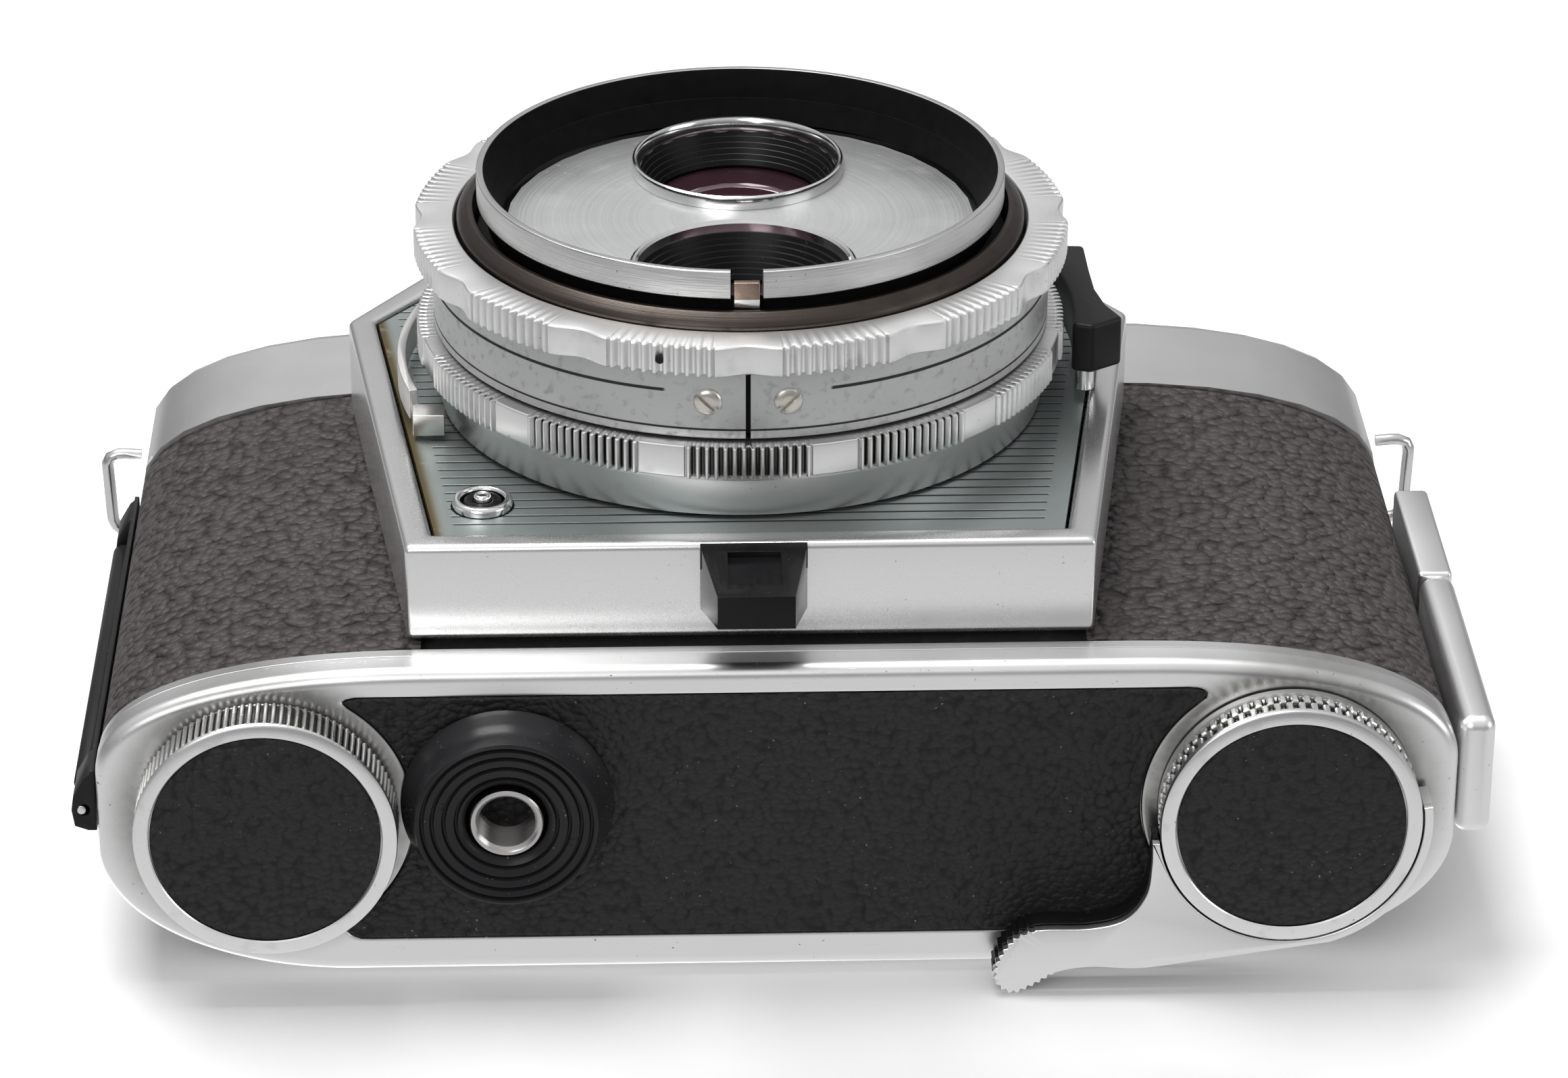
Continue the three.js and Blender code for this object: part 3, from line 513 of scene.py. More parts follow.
recess_rows = [(0.5, 0.0), (0.35, 0.0), (0.22, 0.0), (0.08, 0.04), (0.0, 0.16), (0.0, RECESS / MM)]
inner_floor = face_z + 1.6 * MM
middle_loop = np.tile(COVER_MIDDLE, (len(rim_angle), 1))
cover_rows = [at_height(middle_loop, inner_floor)]
cover_rows += cover_loops([(WALL + 0.9 * MM, inner_floor), (WALL, inner_floor + 0.9 * MM)])
cover_rows += cover_loops(outside + round_edge)
cover_rows += [
    at_height(panel_loop(rim_angle, (0.1 + grow) * MM), face_z + drop * MM) for grow, drop in recess_rows
]
cover_rows += [at_height(middle_loop, face_z + RECESS)]


def satin(name, colour, roughness, wear=1.0, shade_axes=()):
    """Satin chrome: a faint grain, cloudy patches of polish, small dark pits and fine scratches, and painted
    shade that fades away from each axis of shade_axes, the shadow round a knob that stands over it."""
    material, place = new_finish(name)
    grain = place.noise(9.0, 3)
    cloud = place.noise(0.09, 3)
    pits = place.noise(2.1, 3).step(0.69, 0.76) * place.noise(0.16, 2).step(0.42, 0.66) * wear
    x, y, z = place.parts()
    streaks = place.joined(x * 0.25, y * 3.0, z * 3.0)
    scratch = streaks.noise(1.4, 5, 1.2).step(0.66, 0.72) * wear
    worn = cloud.blend(tuple(c * 0.93 for c in colour), colour)
    # Painted shade: the metal darkens round each knob, where the knob shades it.
    for axis in shade_axes:
        across, back = x - axis.x / MM, y - axis.y / MM
        away = (across * across + back * back).math("SQRT")
        knob_shade = away.step(13.0, 17.0, 1.0, 0.0) * (0.5 + place.noise(0.5, 4) * 0.5)
        worn = knob_shade.blend(worn, (0.23, 0.225, 0.21))
    return lay_on(
        material,
        base_color=pits.blend(worn, (0.2, 0.185, 0.165)),
        metallic=1.0 - pits * 0.5,
        roughness=roughness + grain * 0.06 + cloud * 0.08 + pits * 0.3 - scratch * 0.05,
        normal=(grain * 0.2 + scratch * 0.25 - pits).bump(0.012),
    )


satin_chrome = satin("satin_chrome", (0.8, 0.8, 0.795), 0.27)
cover_satin = satin("cover_satin", (0.82, 0.82, 0.815), 0.25, 1.3, (rewind_axis, wind_axis))
fit(skin("bottom_cover_tray", np.stack(cover_rows)), cover_satin, "satin_chrome", "body", "bottom_cover")

# ---- base leather ---------------------------------------------------------------------------------------
# A panel of finer black leather is glued into the cover's recess, cut round both knobs. Its edge is rounded
# over and stands up a little.
base_grain = leather("base_leather", 0.7, (0.008, 0.008, 0.0085), (0.013, 0.013, 0.014), 0.26, 0.9)
panel_rise = [(0.0, 0.0), (0.0, 0.7), (-0.1, 0.95), (-0.3, 1.0), (-0.6, 0.86), (-1.2, 0.7)]
panel_loops = [middle_loop] + [panel_loop(rim_angle, grow * MM) for grow, _ in panel_rise] + [middle_loop]
panel_lifts = [0.0] + [lift for _, lift in panel_rise] + [0.7]
panel_rows = [
    at_height(loop, panel_high.z + (panel_low.z - panel_high.z) * lift)
    for loop, lift in zip(panel_loops, panel_lifts)
]
fit(
    skin("base_panel", np.stack(panel_rows), crease=60),
    base_grain, "leatherette", "body", "base_leatherette",
)

# ---- film knobs -----------------------------------------------------------------------------------------
# The rewind knob and the frame-counter knob are turned from aluminium and knurled, one with fine straight
# ribs and one with two staggered rows of blocks. Each has a leather disc let into its face.
TURN = 2 * math.pi
KNOB_R = 12.95 * MM
DISC_R = 11.4 * MM
DISC_SINK = 0.75 * MM
KNURL_DEPTH = 0.4 * MM


def turned(name, profile, centre, along="y", sides=180, relief=None, span=(0, TURN), crease=35.0):
    """A closed profile of (radius, distance) pairs turned about an axis along Y or Z through centre. Angles
    start towards the base, or about Z towards the lenses. relief gives a knurled or scalloped piece the
    radius of each point from its angle, radius and distance. A part turn is closed at both its ends."""
    whole = span[1] - span[0] >= TURN
    angles = np.linspace(span[0], span[1], sides + 1)[: sides if whole else None]
    profile = np.asarray(profile, float)
    angle, radius = np.meshgrid(angles, profile[:, 0], indexing="ij")
    level = np.broadcast_to(profile[:, 1], radius.shape)
    if relief:
        radius = relief(angle, radius, level)
    across, down = radius * np.sin(angle), radius * np.cos(angle)
    if along == "y":
        points = np.stack([centre.x + across, level, centre.z - down], axis=-1)
    else:
        points = np.stack([centre.x + across, centre.y - down, level], axis=-1)
    return skin(name, points, whole, crease)


def ribs(turns, share=0.5, steep=7.0):
    """1 on each rib and 0 in the groove beside it, where turns counts the ribs and share is a rib's width."""
    return np.clip((share / 2 - np.abs(np.mod(turns, 1) - 0.5)) * steep + 0.5, 0, 1)


def lathe_metal(
    name, centre, along, colour, roughness, lines=1.0, stain=(0.24, 0.22, 0.2), stains=0.5, groove_shade=None,
):
    """Turned metal: fine lines round the axis, cloudy polish, small nicks, stains in patches, and painted
    shade in
    the grooves of its wall: groove_shade is the radius of the grooves and where the wall starts and ends."""
    material, place = new_finish(name, centre)
    x, y, z = place.parts()
    across, depth = (z, y) if along == "y" else (y, z)
    radius = (x * x + across * across).math("SQRT")
    rings = place.joined(radius * 7.0, depth * 7.0, 0.0).noise(1.0, 5)
    cloud = place.noise(0.13, 3)
    nicks = place.noise(2.4, 3).step(0.7, 0.76) * place.noise(0.2, 2).step(0.4, 0.62)
    patch = place.noise(0.3, 4).step(0.56, 0.72) * stains
    tone = (cloud * 0.7 + rings * 0.3).blend(tuple(c * 0.86 for c in colour), colour)
    tone = patch.blend(tone, tuple(c * 0.7 for c in colour))
    # Painted shade: the wall darkens in its knurled grooves, below the given radius.
    if groove_shade:
        deep, front, back = (size / MM for size in groove_shade)
        wall = depth.step(front, front + 0.3) * depth.step(back - 0.3, back, 1.0, 0.0)
        tone = (wall * radius.step(deep - 0.12, deep + 0.12, 1.0, 0.0)).blend(tone, (0.08, 0.078, 0.07))
    return lay_on(
        material,
        base_color=nicks.blend(tone, stain),
        metallic=1.0 - nicks * 0.4,
        roughness=roughness + rings * 0.1 * lines + cloud * 0.06 + patch * 0.1 + nicks * 0.2,
        normal=(rings * lines - nicks * 1.5).bump(0.01),
    )


def knob_profile(high):
    """A knob's section from the middle of its sunk face, round its rim and up its wall to its back."""
    face = [
        (0, DISC_SINK), (DISC_R, DISC_SINK), (DISC_R, 0.12 * MM), (DISC_R + 0.12 * MM, 0),
        (KNOB_R - 0.3 * MM, 0), (KNOB_R - 0.08 * MM, 0.12 * MM), (KNOB_R, 0.4 * MM),
    ]
    wall = [(KNOB_R, h) for h in np.linspace(0.7 * MM, high - 0.4 * MM, 22)]
    return face + wall + [(KNOB_R - 0.3 * MM, high - 0.1 * MM), (KNOB_R - 0.5 * MM, high), (0, high)]


def rewind_relief(angle, radius, level):
    """Fine straight ribs."""
    wall = np.clip((level / MM - 0.5) * 4, 0, 1) * (radius > KNOB_R - 0.2 * MM)
    return radius - KNURL_DEPTH * wall * (1 - ribs(angle * 104 / TURN, 0.55, 5.0))


def counter_relief(angle, radius, level):
    """Two rows of blocks, the second half a block further round."""
    second = level > 2.2 * MM
    blocks = ribs(angle * 66 / TURN + second * 0.5, 0.6, 5.0)
    gap = np.clip(1.3 - np.abs(level / MM - 2.2) * 6, 0, 1)
    wall = np.clip((level / MM - 0.7) * 4, 0, 1) * (radius > KNOB_R - 0.2 * MM)
    return radius - 1.25 * KNURL_DEPTH * wall * (1 - blocks * (1 - gap))


for name, axis, relief, sides in (
    ("rewind", rewind_axis, rewind_relief, 832),
    ("counter", wind_axis, counter_relief, 792),
):
    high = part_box(name + "_knob")[1].z
    metal = lathe_metal(
        name + "_metal", axis, "z", (0.85, 0.85, 0.845), 0.22, 0.6,
        groove_shade=(KNOB_R - 0.55 * KNURL_DEPTH, 0.7 * MM - axis.z, high - axis.z),
    )
    fit(
        turned(name + "_wheel", knob_profile(high), axis, "z", sides, relief),
        metal, "ring_aluminium", name, name + "_knob",
    )
    edge = DISC_R - 0.12 * MM
    disc = [(0, 0.7 * MM), (edge, 0.7 * MM), (edge, 0.2 * MM), (edge - 0.3 * MM, 0.07 * MM), (0, 0.1 * MM)]
    fit(
        turned(name + "_leather", disc, axis, "z", 120, crease=60),
        base_grain, "leatherette", name, name + "_disc",
    )

# ---- wind lever -----------------------------------------------------------------------------------------
# A flat arm stamped from brass sheet and satin plated, flush with the counter knob's face, with a thin wall
# round the knob, and under the arm a black moulded grip. The thumb tip of both is serrated.
lever_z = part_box("wind_lever")[0].z
LEVER_BORE = KNOB_R + 0.15 * MM
LEVER_RIM = KNOB_R + 1.0 * MM
ARM = np.array([
    (36.65, 17.6), (36.65, 20.2), (36.2, 23.4), (34.2, 26.2), (30.8, 27.2), (25.7, 27.3), (23.4, 28.2),
    (21.9, 30.2), (21.3, 32.2), (21.9, 33.7), (23.3, 34.35), (25.2, 33.5), (27.6, 32.1), (30.9, 31.6),
    (35.9, 31.8), (41.7, 31.0),
]) * MM
ARM_STEPS = 34
TIP = slice(5, 12)
TOOTH_PITCH = 0.8 * MM
TOOTH_DEPTH = 0.36 * MM


def spline(points, steps):
    """Points along a smooth curve through these points: a Catmull-Rom spline, steps to each stretch."""
    padded = np.concatenate([points[:1] * 2 - points[1:2], points, points[-1:] * 2 - points[-2:-1]])
    share = np.linspace(0, 1, steps, endpoint=False)[:, None, None]
    a, b, c, d = padded[:-3], padded[1:-2], padded[2:-1], padded[3:]
    bend = 2 * b + (c - a) * share + (2 * a - 5 * b + 4 * c - d) * share**2
    curve = (bend + (3 * b - a - 3 * c + d) * share**3) / 2
    return np.concatenate([curve.transpose(1, 0, 2).reshape(-1, points.shape[1]), points[-1:]])


def arc(centre, radius, start, end, steps):
    """Points on a circle from one angle to another, in degrees from +X."""
    angle = np.radians(np.linspace(start, end, steps))
    return np.array([centre.x, centre.y]) + radius * np.stack([np.cos(angle), np.sin(angle)], axis=1)


def outward(outline):
    """Unit normals of a closed outline, pointing out of it."""
    along = np.roll(outline, -1, axis=0) - np.roll(outline, 1, axis=0)
    normal = np.stack([along[:, 1], -along[:, 0]], axis=1)
    normal /= np.maximum(np.linalg.norm(normal, axis=1), 1e-12)[:, None]
    x, y = outline.T
    area = np.sum(x * np.roll(y, -1) - np.roll(x, -1) * y)
    return normal * np.sign(area)


def prism(name, outline, low, high, edge, teeth=0.0):
    """A flat piece: an outline carried from low to high, its edges rounded by edge. teeth moves each point of
    the outline outwards."""
    angle = np.linspace(0, math.pi / 2, 4)
    inset = edge * (1 - np.sin(angle))
    rise = edge * (1 - np.cos(angle))
    rows = list(zip(inset, low + rise)) + list(zip(inset[::-1], high - rise[::-1]))
    normal = outward(outline)
    out = np.broadcast_to(teeth, len(outline))[:, None]
    loops = [at_height(outline + normal * (out - inset), level) for inset, level in rows]
    return skin(name, np.stack(loops), crease=40)


def serrated(outline):
    """Teeth along the thumb tip: how far a saw wave along an outline's length moves each point outwards."""
    start, end = TIP.start * ARM_STEPS, TIP.stop * ARM_STEPS
    length = np.cumsum(np.linalg.norm(np.diff(outline, axis=0, append=outline[:1]), axis=1))
    wave = np.abs(np.mod(length / TOOTH_PITCH, 1) - 0.5) * 2
    place = np.arange(len(outline))
    inside = np.clip(np.minimum(place - start, end - place) / 12, 0, 1)
    return (wave - 0.5) * inside * TOOTH_DEPTH


arm_curve = spline(ARM, ARM_STEPS)
rim_arc = arc(wind_axis, LEVER_RIM, 72, -8, 60)
bore_arc = arc(wind_axis, LEVER_BORE, -8, 172, 140)
plate_outline = np.concatenate([arm_curve, rim_arc, bore_arc])
lever_satin = satin("lever_satin", (0.83, 0.83, 0.825), 0.24, 0.7)
fit(
    prism("lever_arm", plate_outline, lever_z, lever_z + 1.0 * MM, 0.12 * MM, serrated(plate_outline)),
    lever_satin, "satin_chrome", "wind", "wind_lever",
)
wall = [(LEVER_BORE, 1.0 * MM), (LEVER_RIM, 1.0 * MM), (LEVER_RIM, 4.5 * MM), (LEVER_BORE, 4.5 * MM)]
wall_span = (math.radians(82), math.radians(162))
fit(
    turned("lever_wall", fillet(wall, 0.12 * MM), wind_axis, "z", 90, span=wall_span),
    lever_satin, "satin_chrome", "wind",
)
hub = [(0, 4.1), (12.8, 4.1), (12.8, 4.9), (2.9, 4.9), (2.9, 10.6), (0, 10.6)]
fit(turned("lever_hub", np.array(hub) * MM, wind_axis, "z", 160), lever_satin, "satin_chrome", "wind")


def black_plastic(name, colour, roughness, dust):
    """Moulded black plastic: almost plain, with a soft gloss, rubbed places, hairline scratches and dust."""
    material, place = new_finish(name)
    cloud = place.noise(0.2, 3)
    fine = place.noise(5.0, 3)
    x, y, z = place.parts()
    hair = place.joined(x * 0.3, y * 2.4, z * 2.4).noise(1.6, 4, 1.5).step(0.68, 0.72)
    specks = place.noise(3.0, 2).step(0.7, 0.76) * place.noise(0.3, 2).step(0.45, 0.62) * dust
    tone = cloud.blend(colour, tuple(c * 1.7 + 0.003 for c in colour))
    return lay_on(
        material,
        base_color=specks.blend(tone, (0.3, 0.28, 0.24)),
        roughness=roughness + cloud * 0.12 + specks * 0.3 + hair * 0.1,
        specular_ior_level=0.16,
        normal=(fine * 0.3 + hair * 0.4).bump(0.01),
    )


gloss_black = black_plastic("gloss_black", (0.004, 0.004, 0.0045), 0.12, 0.3)
grip_low, grip_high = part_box("wind_lever_grip")
grip_outline = np.concatenate([arm_curve, arc(wind_axis, LEVER_BORE, 100, 172, 60)])
fit(
    prism("lever_grip", grip_outline, grip_low.z, grip_high.z, 0.12 * MM, serrated(grip_outline)),
    gloss_black, "gloss_black", "wind", "wind_lever_grip",
)

# ---- tripod boss ----------------------------------------------------------------------------------------
# A black moulded boss flares up to the base round a chrome threaded bush. Its face has turned grooves and two
# small holes for a pin spanner.
boss_axis = middle_of("tripod_boss")
GROOVES = (5.0, 6.2, 7.35, 8.35)
SPANNER_R = 6.78 * MM
boss_face = [(4.1, 1.5), (4.4, 1.15)]
for groove in GROOVES:
    depth = 1.0 - (groove - 4.4) * 0.11
    boss_face += [(groove - 0.22, depth), (groove - 0.08, depth + 0.5), (groove + 0.08, depth + 0.5)]
    boss_face += [(groove + 0.22, depth)]
boss_side = [
    (8.75, 0.5), (8.98, 0.6), (9.05, 0.85), (9.1, 2.2), (9.3, 3.0), (9.7, 3.7), (10.2, 4.3), (10.5, 4.85),
    (4.1, 4.85),
]
boss_gloss = black_plastic("boss_black", (0.012, 0.012, 0.013), 0.2, 0.8)
fit(
    turned("boss", np.array(boss_face + boss_side) * MM, boss_axis, "z", 200, crease=30),
    boss_gloss, "gloss_black", "body", "tripod_boss",
)
thread = [(2.8 + 0.28 * (i % 2), 1.3 + 0.5 * i) for i in range(20)]
bush = [(3.62, 11.6), (3.62, 1.0), (3.5, 0.85), (3.2, 0.85), (3.0, 1.0)] + thread + [(2.8, 11.6)]


def bright(name, colour=(0.86, 0.86, 0.86), roughness=0.1):
    """Polished chrome with faint smears, fine wear lines and a few dull spots."""
    material, place = new_finish(name)
    smear = place.noise(0.5, 4)
    spots = place.noise(3.2, 2).step(0.7, 0.77) * place.noise(0.3, 2).step(0.45, 0.62)
    tone = spots.blend(smear.blend(tuple(c * 0.9 for c in colour), colour), (0.3, 0.27, 0.24))
    return lay_on(
        material,
        base_color=tone,
        metallic=1.0 - spots * 0.3,
        roughness=roughness + smear * 0.08 + spots * 0.3,
        normal=(place.noise(6.0, 3) * 0.3 - spots).bump(0.006),
    )


bright_chrome = bright("bright_chrome")
bush_steel = bright("bush_steel", (0.5, 0.49, 0.48), 0.2)
fit(
    turned("bush", np.array(bush) * MM, boss_axis, "z", 96),
    bush_steel, "bright_chrome", "body", "tripod_bush",
)
# Painted shade: the spanner holes and the speed ring's index hole are black plugs standing in for the dark
# inside of a hole.
hole_shade_black, _ = new_finish("hole_shade_black")
lay_on(hole_shade_black, base_color=(0.002, 0.002, 0.002), roughness=0.9)
for number, angle in enumerate((math.radians(-72), math.radians(108))):
    spot = Vector((boss_axis.x + SPANNER_R * math.sin(angle), boss_axis.y - SPANNER_R * math.cos(angle), 0))
    rim = [(0, 1.2), (0.34, 1.2), (0.42, 0.72), (0.36, 0.7), (0.3, 0.85), (0, 0.85)]
    fit(
        turned(f"spanner_hole_{number}", np.array(rim) * MM, spot, "z", 24),
        hole_shade_black, "gloss_black", "body",
    )

# ---- covers, lens block and its fittings ----------------------------------------------------------------
# The top cover is pressed brass and the six-sided block round the lenses a planed casting, both satin chrome.
# Their edges are broken by hand. The block holds a striped plate, and a black foot hangs from its lower edge.
def refined(node, name, edge=0.0, steps=3, crease=32.0):
    """A copy of a CAD node with its doubled points merged, its flat faces joined and sharp edges rounded."""
    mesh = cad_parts[node].data.copy()
    mesh.name = name
    shape = bmesh.new()
    shape.from_mesh(mesh)
    bmesh.ops.remove_doubles(shape, verts=shape.verts, dist=2e-6)
    bmesh.ops.dissolve_limit(shape, angle_limit=math.radians(1), verts=shape.verts, edges=shape.edges)
    shape.to_mesh(mesh)
    shape.free()
    piece = bpy.data.objects.new(name, mesh)
    bpy.context.scene.collection.objects.link(piece)
    mesh.polygons.foreach_set("use_smooth", [True] * len(mesh.polygons))
    if edge:
        bevel = piece.modifiers.new("edge", "BEVEL")
        bevel.width = edge
        bevel.segments = steps
        bevel.limit_method = "ANGLE"
        bevel.angle_limit = math.radians(crease)
        bevel.harden_normals = True
    else:
        mesh.set_sharp_from_angle(angle=math.radians(crease))
    return piece


fit(refined("top_cover", "top_cover_shell"), satin_chrome, "satin_chrome", "body", "top_cover")
fit(refined("hood_lid", "finder_lid", 0.35 * MM), satin_chrome, "satin_chrome", "hood", "hood_lid")
BORDER = 2.9 * MM
block_low, block_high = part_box("front_block")
block_x = (block_low.x + block_high.x) / 2
BLOCK_SIDES = [(33.8, 11.2, 0.9, 1), (41.4, 64.7, 1.0, 0), (27.5, 86.0, 0.8, -1)]
EDGE_ROUND = 0.75 * MM


def block_outline(inset):
    """The block's six-sided outline drawn in by inset, its corners a little rounded: half width, height, and
    how much each of them moves with the inset."""
    half = [(wide * MM - inset * along, high * MM + inset * up) for wide, high, along, up in BLOCK_SIDES]
    right_side = [(block_x + x, z) for x, z in half]
    left_side = [(block_x - x, z) for x, z in half[::-1]]
    return fillet(right_side + left_side, 0.5 * MM)


block_satin = satin("block_satin", (0.82, 0.82, 0.815), 0.2, 0.6)
block_section = fillet(
    [(0, block_low.y), (0, block_high.y), (BORDER, block_high.y), (BORDER, block_low.y)], EDGE_ROUND, 5,
)
block_loops = np.stack([
    np.insert(block_outline(inset), 1, np.full(len(block_outline(inset)), level), axis=1)
    for inset, level in block_section
])
fit(skin("lens_block", block_loops, True, crease=40), block_satin, "satin_chrome", "body", "front_block")
fit(refined("support_foot", "foot", 0.35 * MM), gloss_black, "gloss_black", "body", "support_foot")

steel_wire = bright("nickel_wire", (0.72, 0.72, 0.71), 0.22)
for side in ("left", "right"):
    fit(
        refined(f"strap_loop_{side}", f"strap_wire_{side}", crease=50),
        steel_wire, "steel", "body", f"strap_loop_{side}",
    )

# ---- striped plate --------------------------------------------------------------------------------------
# An anodised grey-green plate lies in the block behind the rings. Dark lines under two millimetres apart are
# cut across it, clear of its slanted sides, and it is brown along its left edge.
LINE_PITCH = 1.75
PLATE_SLANT = (BLOCK_SIDES[1][0] - BLOCK_SIDES[0][0]) / (BLOCK_SIDES[1][1] - BLOCK_SIDES[0][1])
PLATE_HALF = 31.0
plate_place = (middle_of("front_plate").x, 0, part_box("front_plate")[0].z)


def striped_finish():
    """Lines at every pitch in height, kept a margin inside the slanted sides below the widest level."""
    material, place = new_finish("striped_plate", plate_place)
    x, y, z = place.parts()
    phase = (z / LINE_PITCH).math("FRACT")
    line = (phase - 0.5).math("ABSOLUTE").step(0.06, 0.12, 1.0, 0.0)
    half = z * PLATE_SLANT + PLATE_HALF
    from_side = half - x.math("ABSOLUTE")
    line = line * from_side.step(2.0, 2.3) * z.step(1.2, 1.4)
    # The plate is made brown in patches along its left edge.
    left = (half + x).step(0.2, 1.7, 1.0, 0.0)
    left_edge_brown = left * (place.noise(0.4, 4) * 1.4).step(0.2, 0.6)
    grain = place.joined(x * 0.5, y, z * 6.0).noise(1.6, 4)
    base = (grain * 0.4 + place.noise(0.12, 3) * 0.6).blend((0.26, 0.295, 0.29), (0.42, 0.46, 0.45))
    return lay_on(
        material,
        base_color=left_edge_brown.blend(line.blend(base, (0.012, 0.018, 0.018)), (0.075, 0.055, 0.018)),
        metallic=0.92 - line * 0.6 - left_edge_brown * 0.4,
        roughness=0.34 + grain * 0.1 + line * 0.2 + left_edge_brown * 0.2,
        normal=(grain * 0.15 - line).bump(0.05),
    )


striped_plate = striped_finish()
fit(
    refined("front_plate", "striped_front_plate", crease=50),
    striped_plate, "striped_plate", "body", "front_plate",
)

# ---- flash socket ---------------------------------------------------------------------------------------
# A coaxial flash socket: a rolled chrome ring, a black insulator and a hollow chrome centre pin.
socket_axis = middle_of("flash_socket_ring")
socket_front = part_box("flash_socket_ring")[0].y
ring_rows = [(2.15, 0.9), (2.15, 0.1), (2.35, -0.15), (2.75, -0.15), (3.0, 0.15), (3.0, 3.6), (2.15, 3.6)]
pin_rows = [(0.4, 0.4), (0.4, -0.35), (0.55, -0.5), (0.7, -0.5), (0.85, -0.3), (0.85, 3.0), (0.4, 3.0)]
insulator_rows = [(0.9, 0.35), (1.05, 0.1), (1.8, 0.1), (1.95, 0.35), (1.95, 3.0), (0.9, 3.0)]
for name, rows, metal, slot_name, node in (
    ("socket_ring", ring_rows, bright_chrome, "bright_chrome", "flash_socket_ring"),
    ("socket_pin", pin_rows, steel_wire, "bright_chrome", "flash_socket_pin"),
    ("socket_insulator", insulator_rows, gloss_black, "matte_black", "flash_socket_insulator"),
):
    profile = fillet(rows, 0.12) * MM + np.array([0, socket_front])
    fit(turned(name, profile, socket_axis, "y", 72), metal, slot_name, "body", node)

# ---- release and self-timer levers ----------------------------------------------------------------------
# Two levers swing round the lens mount: the black shutter release on the right with a steel pin under it, and
# the self-timer on the left, a curved nickel strip with a square finger block.
release_black = black_plastic("release_black", (0.008, 0.0075, 0.0075), 0.28, 0.5)
fit(
    refined("release_lever", "release_arm", 0.45 * MM, 3, 45),
    release_black, "matte_black", "release", "release_lever",
)
release_low, release_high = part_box("release_lever")
pin_at = Vector((release_low.x + 4.6 * MM, 0, release_low.z + 2.6 * MM))
pin_rows = [(0, -0.2), (1.0, -0.2), (1.0, 2.6), (0.8, 2.8), (0, 2.8)]
pin_profile = np.array(pin_rows) * MM + np.array([0, release_high.y])
fit(turned("release_pin", pin_profile, pin_at, "y", 36), steel_wire, "steel", "release")
timer_nickel = satin("timer_nickel", (0.72, 0.71, 0.69), 0.26, 1.2)
fit(
    refined("timer_lever", "timer_arm", 0.16 * MM, 2, 40),
    timer_nickel, "steel", "timer", "timer_lever",
)

# ---- focusing ring --------------------------------------------------------------------------------------
# The focusing ring is turned from aluminium with twelve knurled grips and plain facets between them. Behind
# it is the grey scale skirt, which has a small step near its front and narrows towards the plate.
GRIP_STEP = TURN / 12
FOCUS_R = 33.35 * MM
FACET_DROP = 0.3 * MM
FOCUS_GROOVE = 0.75 * MM
FOCUS_PITCH = 30 / 19
RING_BORE = 29.5 * MM
lens_axis = middle_of("speed_ring")


def grips(angle, offset, half, grooves):
    """How far a point is inside a grip, from 0 to 1, how far down in one of the grip's grooves, and its angle
    from the grip's middle. offset is the first grip's angle and half its half width, both in degrees."""
    from_grip = np.mod(angle - math.radians(offset) + GRIP_STEP / 2, GRIP_STEP) - GRIP_STEP / 2
    inside = np.clip((math.radians(half) - np.abs(from_grip)) / math.radians(0.35), 0, 1)
    turns = from_grip / math.radians(2 * half) * grooves
    return inside, inside * (1 - ribs(turns, 0.52, 5.0)), from_grip


def focus_relief(angle, radius, level):
    """Grips stand at the full radius, grooved; the facets between them are sunk."""
    inside, groove, _ = grips(angle, 0, 7 * FOCUS_PITCH, 14)
    wall = np.clip((radius - (FOCUS_R - 1.0 * MM)) / (0.7 * MM), 0, 1)
    return radius - wall * (FACET_DROP * (1 - inside) + FOCUS_GROOVE * groove)


def ring_profile(node, outer, bore, edge):
    """A square ring between a node's front and back, its four corners rounded by edge."""
    low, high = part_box(node)
    return fillet([(bore, low.y), (outer, low.y), (outer, high.y), (bore, high.y)], edge)


focus_low, focus_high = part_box("focus_ring")
focus_metal = lathe_metal(
    "focus_metal", lens_axis, "y", (0.84, 0.84, 0.835), 0.25, 0.7,
    groove_shade=(FOCUS_R - 0.52 * MM, focus_low.y - lens_axis.y, focus_high.y - lens_axis.y),
)
focus_rows = ring_profile("focus_ring", FOCUS_R, RING_BORE, 0.3 * MM)
fit(
    turned("focus_wheel", focus_rows, lens_axis, "y", 2280, focus_relief, crease=25),
    focus_metal, "ring_aluminium", "focus", "focus_ring",
)
skirt_low, skirt_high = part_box("focus_skirt")
skirt = [
    (RING_BORE, skirt_low.y), (31.9 * MM, skirt_low.y), (31.9 * MM, skirt_low.y + 0.4 * MM),
    (31.55 * MM, skirt_low.y + 0.5 * MM), (31.1 * MM, skirt_high.y), (RING_BORE, skirt_high.y),
]
skirt_metal = lathe_metal("skirt_metal", lens_axis, "y", (0.6, 0.605, 0.6), 0.27, 0.8)
fit(turned("scale_skirt", skirt, lens_axis, "y", 240), skirt_metal, "band_grey", "focus", "focus_skirt")

# ---- clamp band -----------------------------------------------------------------------------------------
# A grey anodised band closes round the shutter, slit at the bottom between its two cheese-head screws. Two
# black lines are cut round it, and the front one stops short of the screws. The anodising has gone speckled.
BAND_R = 31.6 * MM
BAND_BORE = 30.4 * MM
SLIT_HALF = 0.25 / 31.6
LINE_GAP = math.radians(15)
SCREW_SLOT = 0.24 * MM
band_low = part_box("clamp_band")[0]


